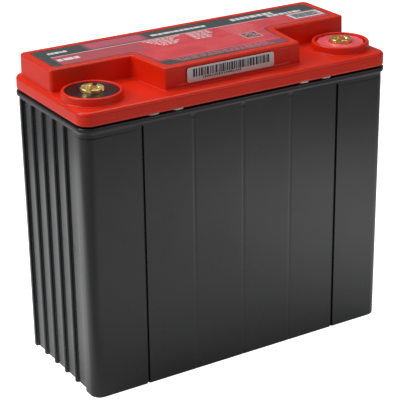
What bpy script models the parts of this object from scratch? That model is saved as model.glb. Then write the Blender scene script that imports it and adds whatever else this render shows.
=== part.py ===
"""A sealed 12 V motorcycle battery, built as the pieces it comes apart into.

The frame: origin at the middle of the underside, +X along the long side towards
the positive terminal, -Y towards the face with the terminals, +Z up. Metres.

Six cells stand in a ribbed jar. Each holds a positive and a negative plate group
and one glass mat folded between the plates. Lead plugs join neighbouring groups
through the partitions, and two lead posts carry the end groups up to brass
inserts in the lid. A rubber cap closes each cell's vent under a cover plate.
"""
import math

import bmesh
import bpy
from mathutils import Matrix

# Overall sizes
RIM_LENGTH = 0.1847
RIM_WIDTH = 0.0790
TOTAL_HEIGHT = 0.1680
CLEARANCE = 0.0003

# Jar
JAR_HEIGHT = 0.1482
JAR_DRAFT = 0.0002
JAR_CORNER_RADIUS = 0.0060
RIM_HEIGHT = 0.0026
RIM_OVERHANG = 0.0011
WALL = 0.0018
FLOOR = 0.0026
PARTITION = 0.0016
CELL_COUNT = 6
RIB_DEPTH = 0.0016
RIB_WIDTH = 0.0018
FRONT_POST_WIDTH = 0.0118
BACK_POST_WIDTH = 0.0066
PANEL_COUNT = 5
PANEL_TOP_DROP = 0.0024
GROOVE_WIDTH = 0.0011
GROOVE_DEPTH = 0.0005

# Lid
SEAM_GAP = 0.0006
LID_INSET = 0.0002
SKIRT_HEIGHT = 0.0075
LID_WALL = 0.0025
LIP_WIDTH = 0.0010
SEAL_THICKNESS = 0.0010
PLATEAU_RADIUS = 0.0030
PLATEAU_END_INSET = 0.0024
PLATEAU_BACK_INSET = 0.0042
PLATEAU_FRONT_INSET = 0.0090
RECESS_LENGTH_AT_BACK = 0.0482
RECESS_LENGTH_AT_FRONT = 0.0513
LABEL_MARGIN = 0.0045
LABEL_THICKNESS = 0.0003
LABEL_SETBACK = 0.0001
BARCODE_LENGTH = 0.0520
BARCODE_HEIGHT = 0.0076
BARCODE_OFFSET = -0.0023
WINDOW_WIDTH = 0.0055
WINDOW_HEIGHT = 0.0008
WINDOW_PLACES = (0.0380, 0.0520)

# Vents
COVER_MARGIN = 0.0003
COVER_THICKNESS = 0.0022
COVER_LEDGE = 0.0012
CHIMNEY_DIAMETER = 0.0074
VENT_BORE = 0.0045
CAP_DIAMETER = 0.0110
CAP_TOP_THICKNESS = 0.0018
CAP_FOOT_GAP = 0.0010
CAP_LIFT = 0.0008

# Terminals
BOSS_DIAMETER = 0.0310
BOSS_END_GAP = 0.0012
BOSS_FRONT_GAP = 0.0054
BOSS_BACK_GAP = 0.0011
BOSS_HEIGHT = 0.0043
BOSS_WALL = 0.0019
WELL_FLOOR_RISE = 0.0013
DISC_SETBACK = 0.0007
HEAD_DIAMETER = 0.0120
HEAD_RISE = 0.0012
SHANK_DIAMETER = 0.0096
SHANK_LENGTH = 0.0120
THREAD_DIAMETER = 0.0060
THREAD_DEPTH = 0.0105
CROWN_SLOT_WIDTH = 0.0026
CROWN_SLOT_DEPTH = 0.0014
CROWN_SLOT_COUNT = 2
POST_DIAMETER = 0.0164
POST_FOOT_DIAMETER = 0.0140
POST_SHOULDER_HEIGHT = 0.0090
RING_SECTION = 0.0018
RING_SEAT_DEPTH = 0.0025

# Cells
PLATE_THICKNESS = 0.0011
POSITIVE_PLATES = 5
NEGATIVE_PLATES = 6
PACK_SIDE_GAP = 0.0005
PLATE_BOTTOM_GAP = 0.0028
HEADSPACE = 0.0300
LUG_HEIGHT = 0.0060
LUG_OVERLAP = 0.0010
STRAP_THICKNESS = 0.0050
STRAP_WIDTH = 0.0140
FLAG_THICKNESS = 0.0030
FLAG_HEIGHT = 0.0120
FLAG_GAP = 0.0006
WELD_DIAMETER = 0.0084
MAT_RISE = 0.0015

TURNED_STEPS = 32
SMALL_TURNED_STEPS = 20
RING_SECTION_STEPS = 8
ARC_STEPS = 4
THROUGH = 0.0010
MERGE = 0.00001

# Levels and outlines that follow from the sizes above
LID_BOTTOM = JAR_HEIGHT + SEAM_GAP
DECK = LID_BOTTOM + SKIRT_HEIGHT
SEAL_BOTTOM = JAR_HEIGHT + CLEARANCE
SEAL_TOP = SEAL_BOTTOM + SEAL_THICKNESS
CHANNEL_TOP = SEAL_TOP + CLEARANCE
POCKET_TOP = DECK - LID_WALL
LABEL_TOP = TOTAL_HEIGHT - LABEL_SETBACK
LABEL_SEAT = LABEL_TOP - LABEL_THICKNESS - CLEARANCE
COVER_BOTTOM = LABEL_SEAT - COVER_THICKNESS
REBATE_FLOOR = COVER_BOTTOM - CLEARANCE
CAP_TOP = COVER_BOTTOM - CAP_LIFT - CLEARANCE
CAP_BOTTOM = DECK + CAP_FOOT_GAP
CHIMNEY_TOP = CAP_TOP - CAP_TOP_THICKNESS - CLEARANCE
WELL_FLOOR = DECK + WELL_FLOOR_RISE
DISC_BOTTOM = WELL_FLOOR + CLEARANCE
DISC_TOP = DECK + BOSS_HEIGHT - DISC_SETBACK
POST_TOP = DISC_BOTTOM - CLEARANCE
HEAD_BOTTOM = POST_TOP + CLEARANCE
HEAD_TOP = DECK + BOSS_HEIGHT + HEAD_RISE
PLATE_BOTTOM = FLOOR + PLATE_BOTTOM_GAP
PLATE_TOP = JAR_HEIGHT - HEADSPACE
STRAP_BOTTOM = PLATE_TOP + LUG_HEIGHT
STRAP_TOP = STRAP_BOTTOM + STRAP_THICKNESS
FLAG_TOP = STRAP_TOP + FLAG_HEIGHT
WELD_HEIGHT = STRAP_TOP + FLAG_HEIGHT / 2

JAR_HALF_LENGTH = RIM_LENGTH / 2 - RIM_OVERHANG
JAR_HALF_WIDTH = RIM_WIDTH / 2 - RIM_OVERHANG
PANEL_HALF_LENGTH = JAR_HALF_LENGTH - RIB_DEPTH
CELL_HALF_LENGTH = PANEL_HALF_LENGTH - WALL
CELL_HALF_WIDTH = JAR_HALF_WIDTH - WALL
CELL_PITCH = (2 * CELL_HALF_LENGTH + PARTITION) / CELL_COUNT
LID_HALF_LENGTH = RIM_LENGTH / 2 - LID_INSET
LID_HALF_WIDTH = RIM_WIDTH / 2 - LID_INSET
LID_CORNER_RADIUS = JAR_CORNER_RADIUS + RIM_OVERHANG - LID_INSET
TERMINAL_X = LID_HALF_LENGTH - BOSS_END_GAP - BOSS_DIAMETER / 2
TERMINAL_Y = -LID_HALF_WIDTH + BOSS_FRONT_GAP + BOSS_DIAMETER / 2

PLATEAU_END = LID_HALF_LENGTH - PLATEAU_END_INSET
PLATEAU_BACK = LID_HALF_WIDTH - PLATEAU_BACK_INSET
PLATEAU_FRONT = -LID_HALF_WIDTH + PLATEAU_FRONT_INSET
RECESS_BACK = -LID_HALF_WIDTH + BOSS_FRONT_GAP + BOSS_DIAMETER + BOSS_BACK_GAP
RECESS_SIDE_BACK = LID_HALF_LENGTH - RECESS_LENGTH_AT_BACK
RECESS_SIDE_FRONT = LID_HALF_LENGTH - RECESS_LENGTH_AT_FRONT

REBATE_END = PLATEAU_END - LABEL_MARGIN - COVER_MARGIN
REBATE_BACK = PLATEAU_BACK - LABEL_MARGIN - COVER_MARGIN
REBATE_FRONT = RECESS_BACK + LABEL_MARGIN + COVER_MARGIN
VENT_Y = (REBATE_BACK + REBATE_FRONT) / 2

COLOURS = {
    "black_plastic": ((0.035, 0.036, 0.038), 0.45, 0.0),
    "red_plastic": ((0.72, 0.035, 0.02), 0.35, 0.0),
    "label_print": ((0.5, 0.06, 0.08), 0.4, 0.0),
    "white_print": ((0.78, 0.79, 0.8), 0.45, 0.0),
    "sealant": ((0.75, 0.73, 0.68), 0.5, 0.0),
    "brass": ((0.72, 0.56, 0.22), 0.3, 1.0),
    "black_resin": ((0.01, 0.01, 0.011), 0.25, 0.0),
    "pink_resin": ((0.75, 0.08, 0.1), 0.4, 0.0),
    "rubber": ((0.02, 0.02, 0.02), 0.8, 0.0),
    "lead": ((0.32, 0.33, 0.36), 0.5, 1.0),
    "positive_paste": ((0.16, 0.07, 0.04), 0.8, 0.0),
    "negative_paste": ((0.3, 0.31, 0.33), 0.7, 0.0),
    "glass_mat": ((0.85, 0.85, 0.82), 0.9, 0.0),
}


def start_collections():
    """Empty the scene and return the collections for the battery and its tools."""
    for item in list(bpy.data.objects):
        bpy.data.objects.remove(item)
    found = []
    for name in ("motorcycle_battery", "shaping_tools"):
        group = bpy.data.collections.new(name)
        bpy.context.scene.collection.children.link(group)
        found.append(group)
    return found


battery, tools = start_collections()


def material(name):
    """Return one of the battery's materials, made when first asked for."""
    if name in bpy.data.materials:
        return bpy.data.materials[name]
    colour, roughness, metallic = COLOURS[name]
    made = bpy.data.materials.new(name)
    made.use_nodes = True
    shader = made.node_tree.nodes["Principled BSDF"]
    shader.inputs["Base Color"].default_value = (*colour, 1.0)
    shader.inputs["Roughness"].default_value = roughness
    shader.inputs["Metallic"].default_value = metallic
    return made


def add_object(name, data, finish=None):
    """Link an object: a finished piece has a finish, a shaping tool has none."""
    made = bpy.data.objects.new(name, data)
    if finish is None:
        tools.objects.link(made)
        made.hide_render = True
        made.display_type = "WIRE"
    else:
        battery.objects.link(made)
        data.materials.append(material(finish))
    return made


def combine(target, piece, operation):
    """Put a Boolean modifier on target that uses piece."""
    step = target.modifiers.new(piece.name, "BOOLEAN")
    step.operation = operation
    step.solver = "EXACT"
    step.object = piece


def blocks(name, ranges, finish=None):
    """Make separate tapered blocks in one mesh.

    Each range is (bottom, top, low z, high z), and bottom and top are each
    (low x, high x, low y, high y).
    """
    mesh = bpy.data.meshes.new(name)
    shape = bmesh.new()
    for bottom, top, low, high in ranges:
        corners = bmesh.ops.create_cube(shape, size=2.0)["verts"]
        for corner in corners:
            side = bottom if corner.co.z < 0 else top
            corner.co.x = side[0] if corner.co.x < 0 else side[1]
            corner.co.y = side[2] if corner.co.y < 0 else side[3]
            corner.co.z = low if corner.co.z < 0 else high
    bmesh.ops.recalc_face_normals(shape, faces=shape.faces)
    shape.to_mesh(mesh)
    shape.free()
    return add_object(name, mesh, finish)


def straight(box, low, high):
    """Give the range of a block whose bottom and top are alike."""
    return (box, box, low, high)


def rectangle(half_length, half_width):
    """Give the four corners of a rectangle about the origin."""
    return [(-half_length, -half_width), (half_length, -half_width),
            (half_length, half_width), (-half_length, half_width)]


def rounded(corners, radius):
    """Round each corner of an outline with an arc, on bends of either hand."""
    points = []
    count = len(corners)
    for index, (x, y) in enumerate(corners):
        before = corners[index - 1]
        after = corners[(index + 1) % count]
        start = math.atan2(y - before[1], x - before[0])
        end = math.atan2(after[1] - y, after[0] - x)
        turn = (end - start + math.pi) % (2 * math.pi) - math.pi
        side = 1 if turn > 0 else -1
        reach = radius * math.tan(abs(turn) / 2)
        centre_x = x - reach * math.cos(start) - side * radius * math.sin(start)
        centre_y = y - reach * math.sin(start) + side * radius * math.cos(start)
        for step in range(ARC_STEPS + 1):
            angle = start + turn * step / ARC_STEPS
            points.append((centre_x + side * radius * math.sin(angle),
                           centre_y - side * radius * math.cos(angle)))
    return points


def inset(corners, distance):
    """Move each side of an anticlockwise outline inwards by a distance."""
    moved = []
    count = len(corners)
    for index, (x, y) in enumerate(corners):
        before = corners[index - 1]
        after = corners[(index + 1) % count]
        first = math.atan2(y - before[1], x - before[0])
        second = math.atan2(after[1] - y, after[0] - x)
        middle = (first + second) / 2
        if abs(second - first) > math.pi:
            middle += math.pi
        reach = distance / math.cos(second - middle)
        moved.append((x - reach * math.sin(middle), y + reach * math.cos(middle)))
    return moved


def plate(name, outline, low, high, finish=None):
    """Make a flat outline into a solid between two heights.

    The curve's fill leaves out slivers between points in line, so each cap is
    made whole as one face.
    """
    curve = bpy.data.curves.new(name, "CURVE")
    curve.dimensions = "2D"
    curve.fill_mode = "BOTH"
    curve.extrude = (high - low) / 2
    line = curve.splines.new("POLY")
    line.points.add(len(outline) - 1)
    for point, (x, y) in zip(line.points, outline):
        point.co = (x, y, 0, 1)
    line.use_cyclic_u = True
    guide = bpy.data.objects.new(name + "_outline", curve)
    bpy.context.scene.collection.objects.link(guide)
    bpy.context.view_layer.update()
    seen = guide.evaluated_get(bpy.context.evaluated_depsgraph_get())
    mesh = bpy.data.meshes.new_from_object(seen)
    mesh.name = name
    bpy.data.objects.remove(guide)
    shape = bmesh.new()
    shape.from_mesh(mesh)
    bmesh.ops.remove_doubles(shape, verts=shape.verts, dist=MERGE)
    slivers = [edge for edge in shape.edges if edge.is_boundary]
    bmesh.ops.holes_fill(shape, edges=slivers)
    for side in (-1, 1):
        cap = [face for face in shape.faces
               if all(corner.co.z * side > 0 for corner in face.verts)]
        bmesh.ops.dissolve_faces(shape, faces=cap)
    bmesh.ops.translate(shape, verts=shape.verts, vec=(0, 0, (low + high) / 2))
    bmesh.ops.recalc_face_normals(shape, faces=shape.faces)
    shape.to_mesh(mesh)
    shape.free()
    return add_object(name, mesh, finish)


def stand_outline_up(piece, middle_y):
    """Turn a plate drawn in X and Y so that its outline stands in X and Z."""
    for point in piece.data.vertices:
        across = point.co.z
        point.co.z = point.co.y
        point.co.y = middle_y - across
    piece.data.update()


def turned(name, profile, place, finish=None, steps=TURNED_STEPS):
    """Turn a profile of (radius, z), down its outer side, about the Z axis."""
    mesh = bpy.data.meshes.new(name)
    edges = [(step, step + 1) for step in range(len(profile) - 1)]
    if profile[0][0] > 0 or profile[-1][0] > 0:
        edges.append((len(profile) - 1, 0))
    mesh.from_pydata([(radius, 0, height) for radius, height in profile], edges, [])
    made = add_object(name, mesh, finish)
    made.location = place
    screw = made.modifiers.new("turn", "SCREW")
    screw.angle = 2 * math.pi
    screw.steps = steps
    screw.render_steps = steps
    screw.use_merge_vertices = True
    screw.merge_threshold = MERGE
    screw.use_smooth_shade = True
    return made


def cylinders(name, places, diameter, low, high, steps=TURNED_STEPS):
    """Make separate upright cylinders in one mesh."""
    mesh = bpy.data.meshes.new(name)
    shape = bmesh.new()
    for x, y in places:
        middle = Matrix.Translation((x, y, (low + high) / 2))
        bmesh.ops.create_cone(shape, cap_ends=True, segments=steps,
                              radius1=diameter / 2, radius2=diameter / 2,
                              depth=high - low, matrix=middle)
    shape.to_mesh(mesh)
    shape.free()
    return add_object(name, mesh)


def plug(name, diameter, length, place, finish=None):
    """Make a round plug that lies along X."""
    mesh = bpy.data.meshes.new(name)
    shape = bmesh.new()
    bmesh.ops.create_cone(shape, cap_ends=True, segments=SMALL_TURNED_STEPS,
                          radius1=diameter / 2, radius2=diameter / 2, depth=length,
                          matrix=Matrix.Rotation(math.pi / 2, 4, "Y"))
    shape.to_mesh(mesh)
    shape.free()
    made = add_object(name, mesh, finish)
    made.location = place
    return made


def cell_range(index, height_draft):
    """Give the low and high X of a cell, where the end walls lean in by a draft."""
    low = -CELL_HALF_LENGTH + index * CELL_PITCH
    high = low + CELL_PITCH - PARTITION
    if index == 0:
        low += height_draft
    if index == CELL_COUNT - 1:
        high -= height_draft
    return low, high


def partition_places():
    """Give the X of the middle of each partition."""
    return [(index - CELL_COUNT / 2) * CELL_PITCH for index in range(1, CELL_COUNT)]


def weld_side(index):
    """Give the side, -1 front or 1 back, on which a joint between cells lies."""
    return -1 if index % 2 == 0 else 1


def weld_place(index):
    """Give the middle of the weld through a partition, counted from 1."""
    return (partition_places()[index - 1], weld_side(index) * -TERMINAL_Y, WELD_HEIGHT)


def make_jar():
    """Make the ribbed jar: a drafted box with a rim, six cells and weld holes."""
    outline = rounded(rectangle(JAR_HALF_LENGTH, JAR_HALF_WIDTH), JAR_CORNER_RADIUS)
    jar = plate("case", outline, 0, JAR_HEIGHT - RIM_HEIGHT / 2, "black_plastic")
    for point in jar.data.vertices:
        if point.co.z < JAR_HEIGHT / 2:
            point.co.x *= 1 - JAR_DRAFT / JAR_HALF_LENGTH
            point.co.y *= 1 - JAR_DRAFT / JAR_HALF_WIDTH

    rim_outline = rounded(rectangle(RIM_LENGTH / 2, RIM_WIDTH / 2),
                          JAR_CORNER_RADIUS + RIM_OVERHANG)
    rim = plate("jar_rim", rim_outline, JAR_HEIGHT - RIM_HEIGHT, JAR_HEIGHT)
    combine(jar, rim, "UNION")
    combine(jar, blocks("panel_recesses", panel_ranges()), "DIFFERENCE")
    combine(jar, blocks("face_grooves", groove_ranges()), "DIFFERENCE")
    combine(jar, blocks("cell_hollows", hollow_ranges()), "DIFFERENCE")
    for index in range(1, CELL_COUNT):
        hole = plug("weld_hole_%d" % index, WELD_DIAMETER + 2 * CLEARANCE,
                    PARTITION + THROUGH, weld_place(index))
        combine(jar, hole, "DIFFERENCE")


def panel_ranges():
    """Give the recesses between the ribs on both ends of the jar."""
    first = FRONT_POST_WIDTH - JAR_HALF_WIDTH
    span = JAR_HALF_WIDTH - BACK_POST_WIDTH - first
    width = (span - (PANEL_COUNT - 1) * RIB_WIDTH) / PANEL_COUNT
    top = JAR_HEIGHT - RIM_HEIGHT - PANEL_TOP_DROP
    lean = JAR_DRAFT * (top + THROUGH) / JAR_HEIGHT
    outside = RIM_LENGTH / 2 + THROUGH
    ranges = []
    for side in (-1, 1):
        for index in range(PANEL_COUNT):
            low = first + index * (width + RIB_WIDTH)
            deep_top = PANEL_HALF_LENGTH
            deep_bottom = PANEL_HALF_LENGTH - lean
            ends_top = sorted((side * deep_top, side * outside))
            ends_bottom = sorted((side * deep_bottom, side * outside))
            ranges.append(((*ends_bottom, low, low + width),
                           (*ends_top, low, low + width), -THROUGH, top))
    return ranges


def groove_ranges():
    """Give the upright grooves in front and back over the outer partitions."""
    top = JAR_HEIGHT - RIM_HEIGHT - PANEL_TOP_DROP
    lean = JAR_DRAFT * (top + THROUGH) / JAR_HEIGHT
    outside = RIM_WIDTH / 2 + THROUGH
    ranges = []
    for x in (partition_places()[0], partition_places()[-1]):
        for side in (-1, 1):
            deep = JAR_HALF_WIDTH - GROOVE_DEPTH
            sides_top = sorted((side * deep, side * outside))
            sides_bottom = sorted((side * (deep - lean), side * outside))
            ends = (x - GROOVE_WIDTH / 2, x + GROOVE_WIDTH / 2)
            ranges.append(((*ends, *sides_bottom), (*ends, *sides_top),
                           -THROUGH, top))
    return ranges


def hollow_ranges():
    """Give the six cells, open at the top."""
    ranges = []
    bottom_width = CELL_HALF_WIDTH - JAR_DRAFT
    for index in range(CELL_COUNT):
        bottom = (*cell_range(index, JAR_DRAFT), -bottom_width, bottom_width)
        top = (*cell_range(index, 0), -CELL_HALF_WIDTH, CELL_HALF_WIDTH)
        ranges.append((bottom, top, FLOOR, JAR_HEIGHT + THROUGH))
    return ranges


def make_seal():
    """Make the sealing frame that lies on the jar's walls and partitions."""
    margin = LIP_WIDTH + CLEARANCE
    outline = rounded(rectangle(LID_HALF_LENGTH - margin, LID_HALF_WIDTH - margin),
                      LID_CORNER_RADIUS - margin)
    seal = plate("seam_seal", outline, SEAL_BOTTOM, SEAL_TOP, "sealant")
    openings = [straight((*cell_range(index, 0), -CELL_HALF_WIDTH, CELL_HALF_WIDTH),
                         SEAL_BOTTOM - THROUGH, SEAL_TOP + THROUGH)
                for index in range(CELL_COUNT)]
    combine(seal, blocks("seal_openings", openings), "DIFFERENCE")


def plateau_corners():
    """Give the plateau's outline, anticlockwise, around both terminal recesses."""
    right = [(RECESS_SIDE_FRONT, PLATEAU_FRONT), (RECESS_SIDE_BACK, RECESS_BACK),
             (PLATEAU_END, RECESS_BACK), (PLATEAU_END, PLATEAU_BACK)]
    left = [(-x, y) for x, y in reversed(right)]
    return right + left


def make_lid():
    """Make the lid: skirt, plateau, bosses, vent chamber and chimneys."""
    outline = rounded(rectangle(LID_HALF_LENGTH, LID_HALF_WIDTH), LID_CORNER_RADIUS)
    lid = plate("lid", outline, LID_BOTTOM, DECK, "red_plastic")
    top_outline = rounded(plateau_corners(), PLATEAU_RADIUS)
    combine(lid, plate("plateau", top_outline, DECK - THROUGH, TOTAL_HEIGHT), "UNION")
    places = [(-TERMINAL_X, TERMINAL_Y), (TERMINAL_X, TERMINAL_Y)]
    bosses = cylinders("bosses", places, BOSS_DIAMETER, DECK - THROUGH,
                       DECK + BOSS_HEIGHT)
    combine(lid, bosses, "UNION")
    combine(lid, blocks("lid_pockets", pocket_ranges()), "DIFFERENCE")
    combine(lid, blocks("plateau_pockets", deep_pocket_ranges()), "DIFFERENCE")
    channel = rounded(rectangle(LID_HALF_LENGTH - LIP_WIDTH, LID_HALF_WIDTH - LIP_WIDTH),
                      LID_CORNER_RADIUS - LIP_WIDTH)
    combine(lid, plate("seal_channel", channel, LID_BOTTOM - THROUGH, CHANNEL_TOP),
            "DIFFERENCE")
    combine(lid, blocks("seal_windows", window_ranges()), "DIFFERENCE")
    label_seat = rounded(inset(plateau_corners(), LABEL_MARGIN - CLEARANCE),
                         PLATEAU_RADIUS)
    combine(lid, plate("label_seat", label_seat, LABEL_SEAT, TOTAL_HEIGHT + THROUGH),
            "DIFFERENCE")
    rebate = (-REBATE_END, REBATE_END, REBATE_FRONT, REBATE_BACK)
    combine(lid, blocks("cover_rebate", [straight(rebate, REBATE_FLOOR, LABEL_TOP)]),
            "DIFFERENCE")
    chamber = (-REBATE_END + COVER_LEDGE, REBATE_END - COVER_LEDGE,
               REBATE_FRONT + COVER_LEDGE, REBATE_BACK - COVER_LEDGE)
    combine(lid, blocks("vent_chamber", [straight(chamber, DECK, REBATE_FLOOR + THROUGH)]),
            "DIFFERENCE")
    vents = [(sum(cell_range(index, 0)) / 2, VENT_Y) for index in range(CELL_COUNT)]
    combine(lid, cylinders("chimneys", vents, CHIMNEY_DIAMETER, DECK - THROUGH,
                           CHIMNEY_TOP, SMALL_TURNED_STEPS), "UNION")
    combine(lid, cylinders("vent_bores", vents, VENT_BORE, POCKET_TOP - THROUGH,
                           CHIMNEY_TOP + THROUGH, SMALL_TURNED_STEPS), "DIFFERENCE")
    combine(lid, cylinders("wells", places, BOSS_DIAMETER - 2 * BOSS_WALL, WELL_FLOOR,
                           DECK + BOSS_HEIGHT + THROUGH), "DIFFERENCE")
    ring_room = CLEARANCE + RING_SECTION + CLEARANCE
    ring_seat = POST_DIAMETER + 2 * ring_room
    combine(lid, cylinders("ring_seats", places, ring_seat, WELL_FLOOR - RING_SEAT_DEPTH,
                           WELL_FLOOR + THROUGH), "DIFFERENCE")
    combine(lid, cylinders("post_holes", places, POST_DIAMETER + 2 * CLEARANCE,
                           POCKET_TOP - THROUGH, WELL_FLOOR), "DIFFERENCE")


def pocket_ranges():
    """Give the hollows under the lid, one over each cell."""
    return [straight((*cell_range(index, 0), -CELL_HALF_WIDTH, CELL_HALF_WIDTH),
                     LID_BOTTOM - THROUGH, POCKET_TOP) for index in range(CELL_COUNT)]


def deep_pocket_ranges():
    """Give the hollows that reach up inside the plateau, between the recesses."""
    ranges = []
    end = RECESS_SIDE_FRONT - LID_WALL
    front = PLATEAU_FRONT + LID_WALL
    back = REBATE_FRONT - LID_WALL
    for index in range(CELL_COUNT):
        low, high = cell_range(index, 0)
        low = max(low, -end)
        high = min(high, end)
        if high - low > 2 * LID_WALL:
            ranges.append(straight((low, high, front, back), POCKET_TOP - THROUGH,
                                   LABEL_SEAT - LID_WALL))
    return ranges


def window_ranges():
    """Give the small windows in the lid's lip, front and back, over the seal."""
    ranges = []
    inner = LID_HALF_WIDTH - LIP_WIDTH - CLEARANCE
    outer = LID_HALF_WIDTH + THROUGH
    for place in WINDOW_PLACES:
        for x in (-place, place):
            for side in (-1, 1):
                sides = sorted((side * inner, side * outer))
                box = (x - WINDOW_WIDTH / 2, x + WINDOW_WIDTH / 2, *sides)
                ranges.append(straight(box, LID_BOTTOM - THROUGH,
                                       LID_BOTTOM + WINDOW_HEIGHT))
    return ranges


def make_cover_and_labels():
    """Make the vent cover in its rebate, the top label and the barcode label."""
    box = (-REBATE_END + CLEARANCE, REBATE_END - CLEARANCE,
           REBATE_FRONT + CLEARANCE, REBATE_BACK - CLEARANCE)
    blocks("vent_cover", [straight(box, COVER_BOTTOM, LABEL_SEAT)], "red_plastic")
    outline = rounded(inset(plateau_corners(), LABEL_MARGIN), PLATEAU_RADIUS)
    plate("top_label", outline, LABEL_SEAT + CLEARANCE, LABEL_TOP, "label_print")
    middle = (DECK + TOTAL_HEIGHT) / 2
    face = PLATEAU_FRONT - CLEARANCE
    box = (BARCODE_OFFSET - BARCODE_LENGTH / 2, BARCODE_OFFSET + BARCODE_LENGTH / 2,
           face - LABEL_THICKNESS, face)
    blocks("barcode_label", [straight(box, middle - BARCODE_HEIGHT / 2,
                                      middle + BARCODE_HEIGHT / 2)], "white_print")


def make_valve_caps():
    """Make the rubber cap on each vent chimney."""
    outer = CAP_DIAMETER / 2
    inner = CHIMNEY_DIAMETER / 2 + CLEARANCE
    roof = CAP_TOP - CAP_TOP_THICKNESS
    profile = [(0, CAP_TOP), (outer, CAP_TOP), (outer, CAP_BOTTOM),
               (inner, CAP_BOTTOM), (inner, roof), (0, roof)]
    for index in range(CELL_COUNT):
        place = (sum(cell_range(index, 0)) / 2, VENT_Y, 0)
        turned("valve_cap_%d" % (index + 1), profile, place, "rubber",
               SMALL_TURNED_STEPS)


def make_terminal(side, name, resin):
    """Make one terminal: brass insert, resin disc, rubber ring and lead post."""
    place = (side * TERMINAL_X, TERMINAL_Y, 0)
    head = HEAD_DIAMETER / 2
    shank = SHANK_DIAMETER / 2
    thread = THREAD_DIAMETER / 2
    foot = HEAD_BOTTOM - SHANK_LENGTH
    thread_end = HEAD_TOP - THREAD_DEPTH
    insert = turned(name + "_insert",
                    [(0, thread_end), (thread, thread_end), (thread, HEAD_TOP),
                     (head, HEAD_TOP), (head, HEAD_BOTTOM), (shank, HEAD_BOTTOM),
                     (shank, foot), (0, foot)], place, "brass")
    for step in range(CROWN_SLOT_COUNT):
        half = CROWN_SLOT_WIDTH / 2
        box = (-HEAD_DIAMETER, HEAD_DIAMETER, -half, half)
        slot = blocks("%s_slot_%d" % (name, step + 1),
                      [straight(box, HEAD_TOP - CROWN_SLOT_DEPTH, HEAD_TOP + THROUGH)])
        slot.location = place
        slot.rotation_euler.z = math.pi / 4 + step * math.pi / CROWN_SLOT_COUNT
        combine(insert, slot, "DIFFERENCE")

    well = BOSS_DIAMETER / 2 - BOSS_WALL - CLEARANCE
    hole = head + CLEARANCE
    turned(name + "_resin_disc",
           [(hole, DISC_TOP), (well, DISC_TOP), (well, DISC_BOTTOM),
            (hole, DISC_BOTTOM)], place, resin)

    post = POST_DIAMETER / 2
    post_foot = POST_FOOT_DIAMETER / 2
    bore = shank + CLEARANCE
    shoulder = POST_TOP - POST_SHOULDER_HEIGHT
    bore_end = foot - CLEARANCE
    post_bottom = STRAP_TOP + CLEARANCE
    turned(name + "_lead_post",
           [(0, bore_end), (bore, bore_end), (bore, POST_TOP), (post, POST_TOP),
            (post, shoulder), (post_foot, shoulder), (post_foot, post_bottom),
            (0, post_bottom)], place, "lead")

    bpy.ops.mesh.primitive_torus_add(
        major_segments=TURNED_STEPS, minor_segments=RING_SECTION_STEPS,
        major_radius=post + CLEARANCE + RING_SECTION / 2, minor_radius=RING_SECTION / 2,
        location=(place[0], place[1], WELL_FLOOR - RING_SEAT_DEPTH / 2))
    ring = bpy.context.object
    ring.name = name + "_post_ring"
    ring.data.materials.append(material("rubber"))
    for owner in list(ring.users_collection):
        owner.objects.unlink(ring)
    battery.objects.link(ring)


def pack_places(index):
    """Give the X of the middle of each plate in a cell, end to end."""
    low, high = cell_range(index, JAR_DRAFT)
    width = CELL_PITCH - PARTITION - JAR_DRAFT - 2 * PACK_SIDE_GAP
    count = POSITIVE_PLATES + NEGATIVE_PLATES
    pitch = (width - PLATE_THICKNESS) / (count - 1)
    start = (low + high) / 2 - (width - PLATE_THICKNESS) / 2
    return [start + step * pitch for step in range(count)]


def mat_thickness():
    """Give the mat's thickness, which fills the gap between two plates."""
    places = pack_places(0)
    return places[1] - places[0] - PLATE_THICKNESS - 2 * CLEARANCE


def mat_half_length():
    """Give the distance from the middle to a fold of the mat."""
    return CELL_HALF_WIDTH - JAR_DRAFT - PACK_SIDE_GAP - mat_thickness() / 2


def comb_outline(places, flag_x):
    """Give the outline, in X and Z, of a group's lugs, strap and end flag."""
    half = PLATE_THICKNESS / 2
    left = places[0] - half
    right = places[-1] + half
    if flag_x is not None:
        left = min(left, flag_x[0])
        right = max(right, flag_x[1])
    lug_foot = PLATE_TOP - LUG_OVERLAP
    outline = [(left, STRAP_BOTTOM)]
    for x in places:
        outline += [(x - half, STRAP_BOTTOM), (x - half, lug_foot),
                    (x + half, lug_foot), (x + half, STRAP_BOTTOM)]
    outline.append((right, STRAP_BOTTOM))
    if flag_x is None:
        outline += [(right, STRAP_TOP), (left, STRAP_TOP)]
    elif flag_x[1] == right:
        outline += [(right, FLAG_TOP), (flag_x[0], FLAG_TOP),
                    (flag_x[0], STRAP_TOP), (left, STRAP_TOP)]
    else:
        outline += [(right, STRAP_TOP), (flag_x[1], STRAP_TOP),
                    (flag_x[1], FLAG_TOP), (left, FLAG_TOP)]
    clean = [outline[0]]
    for point in outline[1:]:
        if math.dist(point, clean[-1]) > MERGE:
            clean.append(point)
    return clean


def make_group(name, places, flag_x, side, finish):
    """Make one plate group: its plates joined by lugs and a cast strap."""
    half_width = mat_half_length() - mat_thickness() / 2 - CLEARANCE
    half = PLATE_THICKNESS / 2
    ranges = [straight((x - half, x + half, -half_width, half_width),
                       PLATE_BOTTOM, PLATE_TOP) for x in places]
    group = blocks(name, ranges, finish)
    comb = plate(name + "_comb", comb_outline(places, flag_x), -STRAP_WIDTH / 2,
                 STRAP_WIDTH / 2)
    stand_outline_up(comb, side * -TERMINAL_Y)
    combine(group, comb, "UNION")


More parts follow.
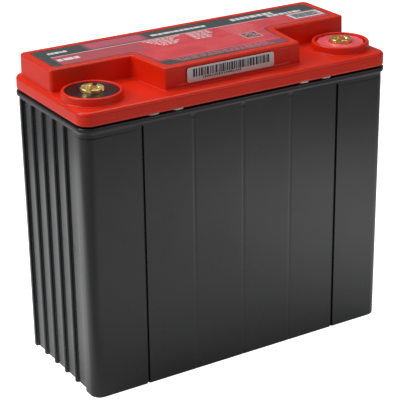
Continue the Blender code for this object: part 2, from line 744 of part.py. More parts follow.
def make_mat(name, places):
    """Make the glass mat: a folded sheet given its thickness."""
    half = mat_half_length()
    line = []
    side = -1
    for first, second in zip(places, places[1:]):
        x = (first + second) / 2
        line += [(x, side * half), (x, -side * half)]
        side = -side
    levels = (FLOOR + CLEARANCE, PLATE_TOP + MAT_RISE)
    mesh = bpy.data.meshes.new(name)
    shape = bmesh.new()
    foot = [shape.verts.new((x, y, levels[0])) for x, y in line]
    for first, second in zip(foot, foot[1:]):
        shape.edges.new((first, second))
    raised = bmesh.ops.extrude_edge_only(shape, edges=shape.edges)["geom"]
    rise = levels[1] - levels[0]
    tops = [item for item in raised if isinstance(item, bmesh.types.BMVert)]
    bmesh.ops.translate(shape, verts=tops, vec=(0, 0, rise))
    bmesh.ops.recalc_face_normals(shape, faces=shape.faces)
    shape.to_mesh(mesh)
    shape.free()
    mat = add_object(name, mesh, "glass_mat")
    wall = mat.modifiers.new("thickness", "SOLIDIFY")
    wall.thickness = mat_thickness()
    wall.offset = 0
    wall.use_even_offset = True


def make_cells():
    """Make the plate groups and the mat of each cell."""
    for index in range(CELL_COUNT):
        places = pack_places(index)
        low, high = cell_range(index, 0)
        left_flag = None
        right_flag = None
        if index > 0:
            left_flag = (low + FLAG_GAP, low + FLAG_GAP + FLAG_THICKNESS)
        if index < CELL_COUNT - 1:
            right_flag = (high - FLAG_GAP - FLAG_THICKNESS, high - FLAG_GAP)
        number = index + 1
        make_group("negative_group_%d" % number, places[0::2], left_flag,
                   weld_side(index), "negative_paste")
        make_group("positive_group_%d" % number, places[1::2], right_flag,
                   weld_side(index + 1), "positive_paste")
        make_mat("separator_%d" % number, places)


def make_welds():
    """Make the lead plugs that join groups through the partitions."""
    length = PARTITION + 2 * (FLAG_GAP - CLEARANCE)
    for index in range(1, CELL_COUNT):
        plug("intercell_weld_%d" % index, WELD_DIAMETER, length, weld_place(index),
             "lead")


make_jar()
make_seal()
make_lid()
make_cover_and_labels()
make_valve_caps()
make_terminal(-1, "negative", "black_resin")
make_terminal(1, "positive", "pink_resin")
make_cells()
make_welds()
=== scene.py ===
# %% [markdown]
# # A sealed motorcycle battery
# A battery like this is two mouldings and what they close in: a black jar with six
# cells, and a red lid whose plateau leaves a recess for a terminal at each front
# corner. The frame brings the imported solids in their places. Every visible surface is
# then worked out here again with finer curves, and takes its places from the frame.

# %% The frame
import math

import bmesh
import bpy
import numpy as np
from mathutils import Matrix, Vector
from mathutils.geometry import delaunay_2d_cdt


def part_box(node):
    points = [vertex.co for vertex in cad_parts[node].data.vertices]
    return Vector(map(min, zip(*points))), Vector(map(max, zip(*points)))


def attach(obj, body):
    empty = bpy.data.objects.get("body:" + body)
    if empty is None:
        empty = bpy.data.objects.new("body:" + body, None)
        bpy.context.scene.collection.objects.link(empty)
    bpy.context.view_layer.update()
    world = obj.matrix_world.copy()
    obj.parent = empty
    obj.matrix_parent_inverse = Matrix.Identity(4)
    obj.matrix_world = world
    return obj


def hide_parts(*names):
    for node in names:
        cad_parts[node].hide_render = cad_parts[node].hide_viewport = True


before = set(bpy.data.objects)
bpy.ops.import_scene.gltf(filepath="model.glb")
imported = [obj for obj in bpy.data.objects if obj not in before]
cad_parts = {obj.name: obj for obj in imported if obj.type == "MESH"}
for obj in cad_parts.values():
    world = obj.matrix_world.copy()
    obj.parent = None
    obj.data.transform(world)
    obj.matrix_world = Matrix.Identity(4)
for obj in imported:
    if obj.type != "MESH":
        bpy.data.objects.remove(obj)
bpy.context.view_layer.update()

MM = 0.001
TAU = 2 * math.pi
WELD = 0.0008

# %% [markdown]
# ## Places read from the frame
# Nothing is placed by eye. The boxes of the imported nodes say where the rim, the deck,
# the terminals and the labels are, and the sizes below are the few that a box can't
# tell, such as a corner's radius. All of them are in millimetres here, because a
# battery is drawn in millimetres, and a mesh is scaled to metres when it is made.

# %% Sizes in millimetres


def node_box(name):
    """Lowest and highest corner of a node, in millimetres."""
    low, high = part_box(name)
    return np.array(low) / MM, np.array(high) / MM


RIM_HIGH = node_box("case")[1]
RIM_HALF = RIM_HIGH[:2]
JAR_TOP = RIM_HIGH[2]
RIM_HEIGHT = 2.6
OVERHANG = 1.1
JAR_HALF = RIM_HALF - OVERHANG
JAR_CORNER = 6.0
JAR_DRAFT = 0.2
LID_LOW, LID_HIGH = node_box("lid")
LID_HALF = LID_HIGH[:2]
LID_CORNER = 6.9
LID_FOOT = LID_LOW[2]
PLATEAU_TOP = LID_HIGH[2]
DECK = LID_FOOT + 7.5
INSERT_LOW, INSERT_HIGH = node_box("positive_insert")
TERMINAL = (INSERT_LOW + INSERT_HIGH)[:2] / 2
DISC_LOW, DISC_HIGH = node_box("positive_resin_disc")
COVER_LOW, COVER_HIGH = node_box("vent_cover")
LABEL_LOW, LABEL_HIGH = node_box("top_label")
BARCODE_LOW, BARCODE_HIGH = node_box("barcode_label")
CAPS = [node_box("valve_cap_%d" % (index + 1)) for index in range(6)]
CELL_X = [(low[0] + high[0]) / 2 for low, high in CAPS]
VENT_Y = (CAPS[0][0][1] + CAPS[0][1][1]) / 2
print("deck at", round(DECK, 2), "terminals at", np.round(TERMINAL, 2),
      "vents at y", round(VENT_Y, 2))

# %% [markdown]
# ## Outlines that can be moved in and out
# A moulded part is the same outline at every height, moved in or out a little: out
# for a rim, in for a draft, in along an arc for a rounded edge. So an outline is kept
# as points with an outward normal at each. Moving it by a distance is then one sum,
# and a rounded edge is a quarter circle of such distances. Sides can carry extra
# points where a rib or a groove needs them.

# %% Outlines


def rounded_outline(corners, radii, steps=10, side_points=()):
    """Points and outward normals of a polygon whose corners are arcs.

    At each corner the path turns by an angle. Its arc has its centre at the radius to
    the left of the path (to the right on an inner bend), and touches both sides at
    radius times the tangent of half the angle. side_points maps a side's number to
    the distances along it, from that side's first corner, of points in between.
    """
    corners = np.asarray(corners, float)
    count = len(corners)
    ahead = np.roll(corners, -1, axis=0) - corners
    heading = np.arctan2(ahead[:, 1], ahead[:, 0])
    arriving = np.roll(heading, 1)
    turn = (heading - arriving + np.pi) % TAU - np.pi
    hand = np.sign(turn)
    radii = np.broadcast_to(radii, count).astype(float)
    reach = radii * np.tan(np.abs(turn) / 2)
    along = np.stack([np.cos(arriving), np.sin(arriving)], 1)
    left = np.stack([-np.sin(arriving), np.cos(arriving)], 1)
    centres = corners - along * reach[:, None] + left * (hand * radii)[:, None]
    sweep = arriving[:, None] + turn[:, None] * np.linspace(0, 1, steps + 1)
    facing = np.stack([np.sin(sweep), -np.cos(sweep)], 2)
    arcs = centres[:, None] + facing * (hand * radii)[:, None, None]
    points, normals = [], []
    for number in range(count):
        points.append(arcs[number])
        normals.append(facing[number])
        if number in side_points:
            distances = np.asarray(side_points[number], float)[:, None]
            forward = ahead[number] / np.linalg.norm(ahead[number])
            points.append(corners[number] + forward * distances)
            normals.append(np.repeat([[forward[1], -forward[0]]], len(distances), 0))
    return np.concatenate(points), np.concatenate(normals)


def moved(outline, outwards):
    """The outline's points moved along their normals by a distance or distances."""
    points, normals = outline
    return points + normals * np.reshape(outwards, (-1, 1))


def rectangle(half_x, half_y):
    """Corners of a rectangle about the origin, anticlockwise from the front left."""
    return [(-half_x, -half_y), (half_x, -half_y), (half_x, half_y), (-half_x, half_y)]


def box_corners(low, high, grow=0.0):
    """Corners of the plan of a box, moved outwards by a distance, anticlockwise."""
    return [(low[0] - grow, low[1] - grow), (high[0] + grow, low[1] - grow),
            (high[0] + grow, high[1] + grow), (low[0] - grow, high[1] + grow)]


def circle(centre, radius, steps=64):
    """Points of a circle, anticlockwise."""
    angles = np.arange(steps) / steps * TAU
    return np.asarray(centre) + radius * np.stack([np.cos(angles), np.sin(angles)], 1)


def quarter(radius, steps=6):
    """A quarter circle as (run, rise) pairs, from (0, 0), first straight up."""
    angles = np.linspace(0, np.pi / 2, steps + 1)
    return radius * np.stack([1 - np.cos(angles), np.sin(angles)], 1)


square = rounded_outline(rectangle(10, 10), 2)
print("a test outline has", len(square[0]), "points")

# %% [markdown]
# ## One skin from rings and flat fills
# A ring is an outline at a height. Quads between one ring and the next make a wall,
# and a constrained Delaunay fill makes a flat with holes in it, such as the deck with
# its bosses. All walls and flats of a piece go into one skin. Where they meet they
# have the same points, so welding those closes the piece, and its faces can then be
# turned outwards by rule.

# %% Skins


class Skin:
    """Points and faces of one piece, in millimetres, gathered wall by wall."""

    def __init__(self):
        self.points, self.faces, self.count = [], [], 0

    def add(self, points, faces):
        """Add points (n, 3) and faces that count from the first of them."""
        self.points.append(np.asarray(points, float))
        self.faces += [tuple(int(p) + self.count for p in face) for face in faces]
        self.count += len(points)

    def wall(self, rings):
        """Quads between closed rings (k, m, 3), each corner joined to the next ring's."""
        rings = np.asarray(rings, float)
        levels, around = rings.shape[:2]
        grid = np.arange(levels * around).reshape(levels, around)
        beside = np.roll(grid, -1, axis=1)
        quads = np.stack([grid[:-1], beside[:-1], beside[1:], grid[1:]], 2)
        self.add(rings.reshape(-1, 3), quads.reshape(-1, 4))

    def flat(self, height, outer, holes=()):
        """Fill the plane at a height inside one loop and outside others."""
        loops = [np.asarray(outer)[:, :2]] + [np.asarray(hole)[:, :2] for hole in holes]
        edges, start = [], 0
        for loop in loops:
            numbers = np.arange(len(loop)) + start
            edges += list(zip(numbers.tolist(), np.roll(numbers, -1).tolist()))
            start += len(loop)
        corners = [Vector(point) for point in np.concatenate(loops)]
        found = delaunay_2d_cdt(corners, edges, [], 0, 1e-6)
        points = np.array([tuple(point) for point in found[0]])
        triangles = np.array([tuple(face) for face in found[2]])
        middles = points[triangles].mean(1)
        keep = inside(middles, loops[0])
        for hole in loops[1:]:
            keep &= ~inside(middles, hole)
        self.add(np.c_[points, np.full(len(points), height)], triangles[keep])


def inside(points, loop):
    """Whether each point is in a loop: a ray to +X crosses its sides an odd number of times."""
    here, there = loop, np.roll(loop, -1, axis=0)
    px, py = points[:, 0, None], points[:, 1, None]
    spans = (here[:, 1] > py) != (there[:, 1] > py)
    rise = np.where(there[:, 1] == here[:, 1], 1e-12, there[:, 1] - here[:, 1])
    crossing = here[:, 0] + (py - here[:, 1]) / rise * (there[:, 0] - here[:, 0])
    return (spans & (px < crossing)).sum(1) % 2 == 1


def ring(points, height):
    """Give a flat outline its height, which may differ from point to point."""
    return np.c_[points, np.broadcast_to(height, len(points))]


def rings(outline, profile):
    """Rings for a profile of (outwards, height) pairs along one outline."""
    return np.array([ring(moved(outline, out), height) for out, height in profile])


def turned_rings(centre, profile, steps=64):
    """Rings for a profile of (radius, height) pairs about an upright axis."""
    return np.array([ring(circle(centre, radius, steps), height)
                     for radius, height in profile])


def mark_edges(mesh, blunt=0.25, keen=1.6):
    """Keep in a float attribute how tightly the surface bends outwards at each point.

    At an edge between two faces the bend is the difference of their normals over the
    distance of their middles, positive where the edge stands out. It is 1 over the
    radius, in mm, and the attribute goes from 0 at blunt to 1 at keen.
    """
    count = len(mesh.polygons)
    normals, middles = np.zeros((count, 3)), np.zeros((count, 3))
    mesh.polygons.foreach_get("normal", normals.reshape(-1))
    mesh.polygons.foreach_get("center", middles.reshape(-1))
    starts, totals = np.zeros(count, int), np.zeros(count, int)
    mesh.polygons.foreach_get("loop_start", starts)
    mesh.polygons.foreach_get("loop_total", totals)
    face_of = np.repeat(np.arange(count), totals)
    edge_of = np.zeros(len(mesh.loops), int)
    mesh.loops.foreach_get("edge_index", edge_of)
    order = np.argsort(edge_of, kind="stable")
    pairs = face_of[order][:len(order) // 2 * 2].reshape(-1, 2)
    edges = edge_of[order][::2][:len(pairs)]
    turn = normals[pairs[:, 0]] - normals[pairs[:, 1]]
    apart = (middles[pairs[:, 0]] - middles[pairs[:, 1]]) / MM
    outwards = np.sign((turn * apart).sum(1))
    bend = outwards * np.linalg.norm(turn, axis=1) / (np.linalg.norm(apart, axis=1) + 1e-6)
    ends = np.zeros(len(mesh.edges) * 2, int)
    mesh.edges.foreach_get("vertices", ends)
    found = np.zeros(len(mesh.vertices))
    for side in (0, 1):
        np.maximum.at(found, ends.reshape(-1, 2)[edges, side], bend)
    share = np.clip((found - blunt) / (keen - blunt), 0, 1)
    kept = mesh.attributes.new("edge", "FLOAT", "POINT")
    kept.data.foreach_set("value", share.astype(np.float32))


def skin_mesh(name, skin):
    """Weld a skin into one closed mesh in metres, with its faces outwards."""
    mesh = bpy.data.meshes.new(name)
    mesh.from_pydata((np.concatenate(skin.points) * MM).tolist(), [], skin.faces)
    shape = bmesh.new()
    shape.from_mesh(mesh)
    bmesh.ops.remove_doubles(shape, verts=shape.verts, dist=WELD * MM)
    bmesh.ops.dissolve_degenerate(shape, edges=shape.edges, dist=WELD / 4 * MM)
    bmesh.ops.recalc_face_normals(shape, faces=shape.faces)
    if shape.calc_volume(signed=True) < 0:
        bmesh.ops.reverse_faces(shape, faces=shape.faces)
    shape.to_mesh(mesh)
    shape.free()
    return mesh


def combined(mesh, tool, operation):
    """The mesh after a Boolean with a tool's mesh, applied."""
    body = bpy.data.objects.new(mesh.name, mesh)
    cutter = bpy.data.objects.new(mesh.name + "_tool", tool)
    for item in (body, cutter):
        bpy.context.scene.collection.objects.link(item)
    step = body.modifiers.new("combine", "BOOLEAN")
    step.operation = operation
    step.solver = "EXACT"
    step.object = cutter
    seen = body.evaluated_get(bpy.context.evaluated_depsgraph_get())
    made = bpy.data.meshes.new_from_object(seen)
    for item in (body, cutter):
        bpy.data.objects.remove(item)
    return made


def piece(name, mesh, body, finish, replaces=(), sharp=34):
    """Shade a closed mesh, mark its edges, and place it in the frame."""
    mesh.shade_smooth()
    mesh.set_sharp_from_angle(angle=math.radians(sharp))
    mark_edges(mesh)
    mesh.materials.clear()
    mesh.materials.append(finish)
    made = bpy.data.objects.new(name, mesh)
    bpy.context.scene.collection.objects.link(made)
    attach(made, body)
    if replaces:
        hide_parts(*replaces)
    used = np.zeros(len(mesh.loops), int)
    mesh.loops.foreach_get("edge_index", used)
    loose = (np.bincount(used, minlength=len(mesh.edges)) != 2).sum()
    print("%s: %d faces, %d open edges" % (name, len(mesh.polygons), loose))
    return made

# %% [markdown]
# ## Short ways to write shader nodes
# The floor and every finish are graphs of shader nodes. A few small functions add a
# node, set or link its inputs, and give back the socket that the next one needs, so a
# graph reads as a sum does.

# %% Node helpers


def new_group(name, inputs, outputs):
    """Start a shader node group with float, colour or vector sockets."""
    kinds = {"value": "NodeSocketFloat", "colour": "NodeSocketColor",
             "vector": "NodeSocketVector"}
    tree = bpy.data.node_groups.new(name, "ShaderNodeTree")
    for label, kind, default in inputs:
        made = tree.interface.new_socket(label, in_out="INPUT", socket_type=kinds[kind])
        if default is not None:
            made.default_value = default
    for label, kind in outputs:
        tree.interface.new_socket(label, in_out="OUTPUT", socket_type=kinds[kind])
    start = tree.nodes.new("NodeGroupInput")
    end = tree.nodes.new("NodeGroupOutput")
    return tree, start, end


def node(tree, kind, values=(), **settings):
    """Add a node, set its properties by keyword and its inputs by name or number."""
    made = tree.nodes.new("ShaderNode" + kind)
    for key, value in settings.items():
        setattr(made, key, value)
    for key, value in dict(values).items():
        if isinstance(value, bpy.types.NodeSocket):
            tree.links.new(value, made.inputs[key])
        else:
            made.inputs[key].default_value = value
    return made


def sums(tree, operation, first, second=0.0, third=0.0):
    """One math node's result."""
    values = {0: first, 1: second}
    if operation in ("MULTIPLY_ADD", "SMOOTH_MIN", "COMPARE"):
        values[2] = third
    return node(tree, "Math", values, operation=operation).outputs[0]


def ramp(tree, value, low, high, low_to=0.0, high_to=1.0):
    """A smooth change from low_to to high_to while the value goes from low to high."""
    made = node(tree, "MapRange", {0: value, 1: low, 2: high, 3: low_to, 4: high_to},
                interpolation_type="SMOOTHSTEP")
    return made.outputs[0]


def mixed(tree, share, first, second):
    """Mix two colours by a share."""
    made = node(tree, "Mix", {0: share, 6: first, 7: second}, data_type="RGBA")
    return made.outputs[2]


def place_nodes(tree):
    """Object coordinates in millimetres, as a vector and as X, Y and Z."""
    place = node(tree, "TexCoord").outputs["Object"]
    scaled = node(tree, "VectorMath", {0: place, 3: 1 / MM}, operation="SCALE").outputs[0]
    split = node(tree, "SeparateXYZ", {0: scaled})
    return scaled, split.outputs[0], split.outputs[1], split.outputs[2]


print("node helpers are ready")

# %% [markdown]
# ## Camera, lights and floor
# The camera stands high at the front left, with a long lens, so the uprights stay
# nearly parallel. A large soft panel at the left lights the ribbed end, a weaker one
# at the front right grades the long face, and a panel overhead draws the bright line
# along each moulded edge. Large area lights give the soft edges of a studio shot.
# The backdrop and the floor are white to the camera alone. To the battery the room is
# dim and the floor is grey, but the floor also glows in three round pools. The glossy
# walls of the jar mirror them as slow changes from bright to dark on each face.

# %% Camera
AZIMUTH = math.radians(-31.38)
ELEVATION = math.radians(22.74)
ROLL = math.radians(-0.75)
LENS = 132.8
SENSOR = 36.0
DISTANCE = 0.7981
AIM = Vector((0, 0, 0.095))
SLIDE = Vector((-0.00247, -0.01579))


def look_axes(azimuth, elevation, roll):
    """Back, right and up of a camera that circles the object, turned by a roll."""
    back = Vector((math.sin(azimuth) * math.cos(elevation),
                   -math.cos(azimuth) * math.cos(elevation), math.sin(elevation)))
    right = Vector((0, 0, 1)).cross(back).normalized()
    up = back.cross(right)
    turn = Matrix.Rotation(roll, 3, back)
    return back, turn @ right, turn @ up


back, right, up = look_axes(AZIMUTH, ELEVATION, ROLL)
lens = bpy.data.cameras.new("studio_camera")
lens.lens = LENS
lens.sensor_width = SENSOR
camera = bpy.data.objects.new("studio_camera", lens)
bpy.context.scene.collection.objects.link(camera)
pose = Matrix.Identity(4)
pose.col[0].xyz, pose.col[1].xyz, pose.col[2].xyz = right, up, back
pose.col[3].xyz = AIM + back * DISTANCE + right * SLIDE.x + up * SLIDE.y
camera.matrix_world = pose
bpy.context.scene.camera = camera
bpy.context.scene.view_settings.view_transform = "Standard"
print("camera at", [round(value, 3) for value in camera.location])

# %% Lights, floor and surroundings
LIGHTS = {
    "left_panel": ((-0.80, 0.20, 0.75), (0.7, 0.5), 6.0),
    "front_panel": ((0.75, -1.15, 0.75), (0.7, 0.5), 2.0),
    "top_panel": ((0.05, 0.30, 1.15), (1.1, 0.9), 7.0),
}


def panel_light(name, place, size, power):
    """An area light that faces the middle of the object."""
    data = bpy.data.lights.new(name, "AREA")
    data.shape = "RECTANGLE"
    data.size, data.size_y = size
    data.energy = power
    made = bpy.data.objects.new(name, data)
    bpy.context.scene.collection.objects.link(made)
    made.location = place
    made.rotation_euler = (AIM - Vector(place)).to_track_quat("-Z", "Y").to_euler()
    return made


for name, (place, size, power) in LIGHTS.items():
    panel_light(name, place, size, power)

ROOM_GLOW = 0.20
BACKDROP_GLOW = 1.0
world = bpy.data.worlds.new("studio")
world.use_nodes = True
sky = world.node_tree
dim, bright = (node(sky, "Background", {"Strength": strength}).outputs[0]
               for strength in (ROOM_GLOW, BACKDROP_GLOW))
seen = node(sky, "LightPath").outputs["Is Camera Ray"]
choice = node(sky, "MixShader", {0: seen, 1: dim, 2: bright})
sky.links.new(choice.outputs[0], sky.nodes["World Output"].inputs["Surface"])
bpy.context.scene.world = world

FLOOR_REACH = 3.0
FLOOR_SHADE = 0.6
FLOOR_ROUGHNESS = 0.7
# middle, radius at full strength, radius where it is gone, strength; in metres
POOLS_OF_LIGHT = [((0.06, -0.20, 0.0), 0.08, 0.26, 0.44),
                  ((-0.16, 0.13, 0.0), 0.12, 0.22, 0.80),
                  ((0.22, -0.16, 0.0), 0.04, 0.22, 0.70)]
floor_mesh = bpy.data.meshes.new("floor")
floor_mesh.from_pydata([(x * FLOOR_REACH, y * FLOOR_REACH, 0)
                        for x, y in ((-1, -1), (1, -1), (1, 1), (-1, 1))],
                       [], [(0, 1, 2, 3)])
floor = bpy.data.objects.new("floor", floor_mesh)
bpy.context.scene.collection.objects.link(floor)
floor_finish = bpy.data.materials.new("pale_floor")
floor_finish.use_nodes = True
floor_tree = floor_finish.node_tree
floor_shader = floor_tree.nodes["Principled BSDF"]
floor_shader.inputs["Base Color"].default_value = (FLOOR_SHADE, FLOOR_SHADE, FLOOR_SHADE, 1)
floor_shader.inputs["Roughness"].default_value = FLOOR_ROUGHNESS
floor_shader.inputs["Emission Color"].default_value = (1, 1, 1, 1)
floor_place = node(floor_tree, "TexCoord").outputs["Object"]
glow = node(floor_tree, "LightPath").outputs["Is Camera Ray"]
for middle, near, far, power in POOLS_OF_LIGHT:
    reach = node(floor_tree, "VectorMath", {0: floor_place, 1: middle},
                 operation="DISTANCE").outputs["Value"]
    glow = sums(floor_tree, "ADD", glow, ramp(floor_tree, reach, near, far, power, 0.0))
floor_tree.links.new(glow, floor_shader.inputs["Emission Strength"])
floor_mesh.materials.append(floor_finish)
print("lights:", ", ".join(LIGHTS))

# %% [markdown]
# ## Effects that several finishes share
# Moulded plastic is never one flat colour. It has a fine grain from the mould's skin,
# slow changes of shade where hands and boxes have rubbed it, and edges that are rubbed
# smooth and, in patches, lighter. All its rounded edges are also painted lighter, a
# painted highlight for the light they catch. Each effect is a node group with named
# inputs and outputs, so every finish can use it at its own scale. A group gives
# colours, masks and normals, and the shader stays in the finish.

# %% The shared effects


def make_mould_grain():
    """Fine mould texture: two noises of unlike size, as a height and a mask."""
    tree, start, end = new_group(
        "mould_grain", [("Place", "vector", None), ("Grain size", "value", 0.5)],
        [("Height", "value"), ("Mottle", "value")])
    scale = sums(tree, "DIVIDE", 1.0, start.outputs["Grain size"])
    fine = node(tree, "TexNoise", {"Vector": start.outputs["Place"], "Scale": scale,
                                   "Detail": 3.0, "Roughness": 0.6})
    slow = sums(tree, "MULTIPLY", scale, 0.02)
    broad = node(tree, "TexNoise", {"Vector": start.outputs["Place"], "Scale": slow,
                                    "Detail": 4.0, "Roughness": 0.55})
    tree.links.new(fine.outputs["Fac"], end.inputs["Height"])
    tree.links.new(ramp(tree, broad.outputs["Fac"], 0.3, 0.7), end.inputs["Mottle"])
    return tree


def make_edge_sheen_and_wear():
    """Edge sheen and rubbing: the bend kept in the mesh's edge attribute as Edge, a mask for
    painted highlights, and that bend broken up by a noise as Wear.
    """
    tree, start, end = new_group(
        "edge_sheen_and_wear", [("Place", "vector", None), ("Break size", "value", 3.0)],
        [("Edge", "value"), ("Wear", "value")])
    bend = node(tree, "Attribute", attribute_name="edge").outputs["Fac"]
    scale = sums(tree, "DIVIDE", 1.0, start.outputs["Break size"])
    broken = node(tree, "TexNoise", {"Vector": start.outputs["Place"], "Scale": scale,
                                     "Detail": 5.0, "Roughness": 0.65})
    patchy = ramp(tree, broken.outputs["Fac"], 0.4, 0.66)
    tree.links.new(bend, end.inputs["Edge"])
    tree.links.new(sums(tree, "MULTIPLY", bend, patchy), end.inputs["Wear"])
    return tree


def make_handling():
    """Rubbed smudges and dust: a stretched noise, and faces that look up."""
    tree, start, end = new_group(
        "handling", [("Place", "vector", None), ("Smudge size", "value", 30.0)],
        [("Smudge", "value"), ("Dust", "value"), ("Scratch", "value")])
    scale = sums(tree, "DIVIDE", 1.0, start.outputs["Smudge size"])
    cloud = node(tree, "TexNoise", {"Vector": start.outputs["Place"], "Scale": scale,
                                    "Detail": 6.0, "Roughness": 0.62,
                                    "Distortion": 0.8})
    tree.links.new(ramp(tree, cloud.outputs["Fac"], 0.46, 0.68), end.inputs["Smudge"])
    normal = node(tree, "NewGeometry").outputs["Normal"]
    upward = node(tree, "SeparateXYZ", {0: normal}).outputs[2]
    speck = node(tree, "TexNoise", {"Vector": start.outputs["Place"], "Scale": 1.3,
                                    "Detail": 2.0})
    fallen = ramp(tree, speck.outputs["Fac"], 0.55, 0.75)
    lying = ramp(tree, upward, 0.5, 1.0)
    tree.links.new(sums(tree, "MULTIPLY", fallen, lying), end.inputs["Dust"])
    stretched = node(tree, "Mapping", {"Vector": start.outputs["Place"],
                                       "Scale": (0.04, 0.04, 1.6),
                                       "Rotation": (0.5, 0.3, 0.2)})
    lines = node(tree, "TexNoise", {"Vector": stretched.outputs[0], "Scale": 1.0,
                                    "Detail": 8.0, "Roughness": 0.75})
    tree.links.new(ramp(tree, lines.outputs["Fac"], 0.63, 0.7), end.inputs["Scratch"])
    return tree


GRAIN = make_mould_grain()
EDGE_SHEEN_AND_WEAR = make_edge_sheen_and_wear()
HANDLING = make_handling()
print("groups:", GRAIN.name, EDGE_SHEEN_AND_WEAR.name, HANDLING.name)

# %% [markdown]
# ## Finishes
# Each finish is a Principled BSDF with the shared groups around it. The jar is a
# glossy black polypropylene with smudges from handling. The lid is a red that is a
# little less glossy. The brass is turned and slightly dull. All three are painted
# lighter along their rounded edges, a painted highlight. The resins are cast, and the
# pieces inside have plainer finishes, since they are only seen when the battery is
# opened.

# %% Finish helpers


def new_finish(name, **constants):
    """Start a finish: the material, its tree and its shader, whose inputs take the given
    constants.
    """
    made = bpy.data.materials.new(name)
    made.use_nodes = True
    tree = made.node_tree
    shader = tree.nodes["Principled BSDF"]
    for label, value in constants.items():
        shader.inputs[label.replace("_", " ")].default_value = value
    return made, tree, shader


def use(tree, group, **values):
    """Place a node group, with inputs named by keyword (spaces written as _)."""
    made = tree.nodes.new("ShaderNodeGroup")
    made.node_tree = group
    for label, value in values.items():
        socket = made.inputs[label.replace("_", " ")]
        if isinstance(value, bpy.types.NodeSocket):
            tree.links.new(value, socket)
        else:
            socket.default_value = value
    return made.outputs


def bump(tree, shader, height, depth):
    """Feed a height, in millimetres of depth, to the shader's normal."""
    made = node(tree, "Bump", {"Height": height, "Strength": 1.0, "Distance": depth * MM})
    tree.links.new(made.outputs[0], shader.inputs["Normal"])


def colour(red, green, blue):
    """A linear colour from the usual 0 to 255 values."""
    values = np.array([red, green, blue]) / 255
    linear = np.where(values <= 0.04045, values / 12.92, ((values + 0.055) / 1.055) ** 2.4)
    return (*linear.tolist(), 1.0)


def moulded(name, main, light, edge, roughness, grain_depth, smudge, specular=0.5):
    """A moulded plastic: mottled colour, edges painted lighter as a painted highlight and more
    so in rubbed patches, smudges, dust and grain.
    """
    made, tree, shader = new_finish(name, Roughness=roughness)
    shader.inputs["Specular IOR Level"].default_value = specular
    place, _, _, _ = place_nodes(tree)
    grain = use(tree, GRAIN, Place=place, Grain_size=0.5)
    sheen_and_wear = use(tree, EDGE_SHEEN_AND_WEAR, Place=place, Break_size=2.5)
    touched = use(tree, HANDLING, Place=place, Smudge_size=34.0)
    base = mixed(tree, sums(tree, "MULTIPLY", grain["Mottle"], 0.5), main, light)
    rubbed = mixed(tree, sums(tree, "MULTIPLY", touched["Smudge"], smudge * 0.35),
                   base, light)
    # Painted highlight: the bend alone mixes every rounded edge towards the lighter edge
    # colour.
    edge_highlighted = mixed(tree, sums(tree, "MULTIPLY", sheen_and_wear["Edge"], 0.35), rubbed, edge)
    # Patches rubbed along the edges take the same lighter colour, more strongly.
    worn_and_edge_sheen = mixed(tree, sums(tree, "MULTIPLY", sheen_and_wear["Wear"], 0.45), edge_highlighted, edge)
    dusty = mixed(tree, sums(tree, "MULTIPLY", touched["Dust"], 0.06), worn_and_edge_sheen,
                  colour(200, 195, 188))
    tree.links.new(dusty, shader.inputs["Base Color"])
    rough = sums(tree, "MULTIPLY_ADD", touched["Smudge"], 0.12 * smudge, roughness)
    rougher = sums(tree, "MULTIPLY_ADD", touched["Dust"], 0.15, rough)
    smooth = sums(tree, "MULTIPLY_ADD", sheen_and_wear["Edge"], -0.08, rougher)
    scratched = sums(tree, "MULTIPLY_ADD", touched["Scratch"], 0.10, smooth)
    tree.links.new(scratched, shader.inputs["Roughness"])
    bump(tree, shader, grain["Height"], grain_depth)
    return made


# The third colour of each finish is the painted highlight on rounded edges, which rubbed
# patches also take.
black_plastic = moulded("moulded_black", colour(25, 26, 29), colour(31, 32, 35),
                        colour(44, 45, 48), 0.22, 0.003, smudge=0.6)
red_plastic = moulded("moulded_red", colour(224, 38, 8), colour(228, 44, 12),
                      colour(234, 62, 34), 0.30, 0.005, smudge=0.4, specular=0.3)
print("finishes:", black_plastic.name, red_plastic.name)

# %% [markdown]
# ## The jar
# The jar is one thin moulding, open at the top. Its outside is a grid: once round the
# outline, and up through the levels. Everything on it is a distance by which a grid
# point leaves the plain outline: the draft, the panels sunk between the ribs, the
# rounded foot, the grooves over the outer partitions and the small dimples where the
# mould's ejector pins pressed. The rib's cross-section is a full round with a fillet
# at its foot, so it needs points close together there, and few elsewhere.

# %% Ribs and grooves along the outline
RIB_DEPTH = 1.6
RIB_HALF = 0.9
RIB_FOOT = 0.25
POST_NOSE = 1.4
FRONT_POST = 11.8
BACK_POST = 6.6
PANELS = 5
PANEL_TOP = JAR_TOP - RIM_HEIGHT - 1.5
PANELS_FROM = FRONT_POST - JAR_HALF[1]
PANEL_SPAN = JAR_HALF[1] - BACK_POST - PANELS_FROM
PANEL_WIDTH = (PANEL_SPAN - (PANELS - 1) * 2 * RIB_HALF) / PANELS
CELL_PITCH = CELL_X[1] - CELL_X[0]
PARTITIONS = [(first + second) / 2 for first, second in zip(CELL_X, CELL_X[1:])]
CORNER_STEPS = 10


def rib_half(tip_radius):
    """Half a rib's section, as (distance from its middle, depth), foot to tip.

    A quarter circle of the foot's radius rises from the panel, then a quarter circle
    of the tip's radius ends at the rib's middle or at the flat beside it.
    """
    foot = np.linspace(-np.pi / 2, -np.pi, 5)
    tip = np.linspace(0, np.pi / 2, 7)
    foot_x = RIB_HALF + RIB_FOOT + RIB_FOOT * np.cos(foot)
    foot_y = -RIB_DEPTH + RIB_FOOT + RIB_FOOT * np.sin(foot)
    tip_x = RIB_HALF - tip_radius + tip_radius * np.cos(tip)
    tip_y = -tip_radius + tip_radius * np.sin(tip)
    return np.r_[foot_x, tip_x], np.r_[foot_y, tip_y]


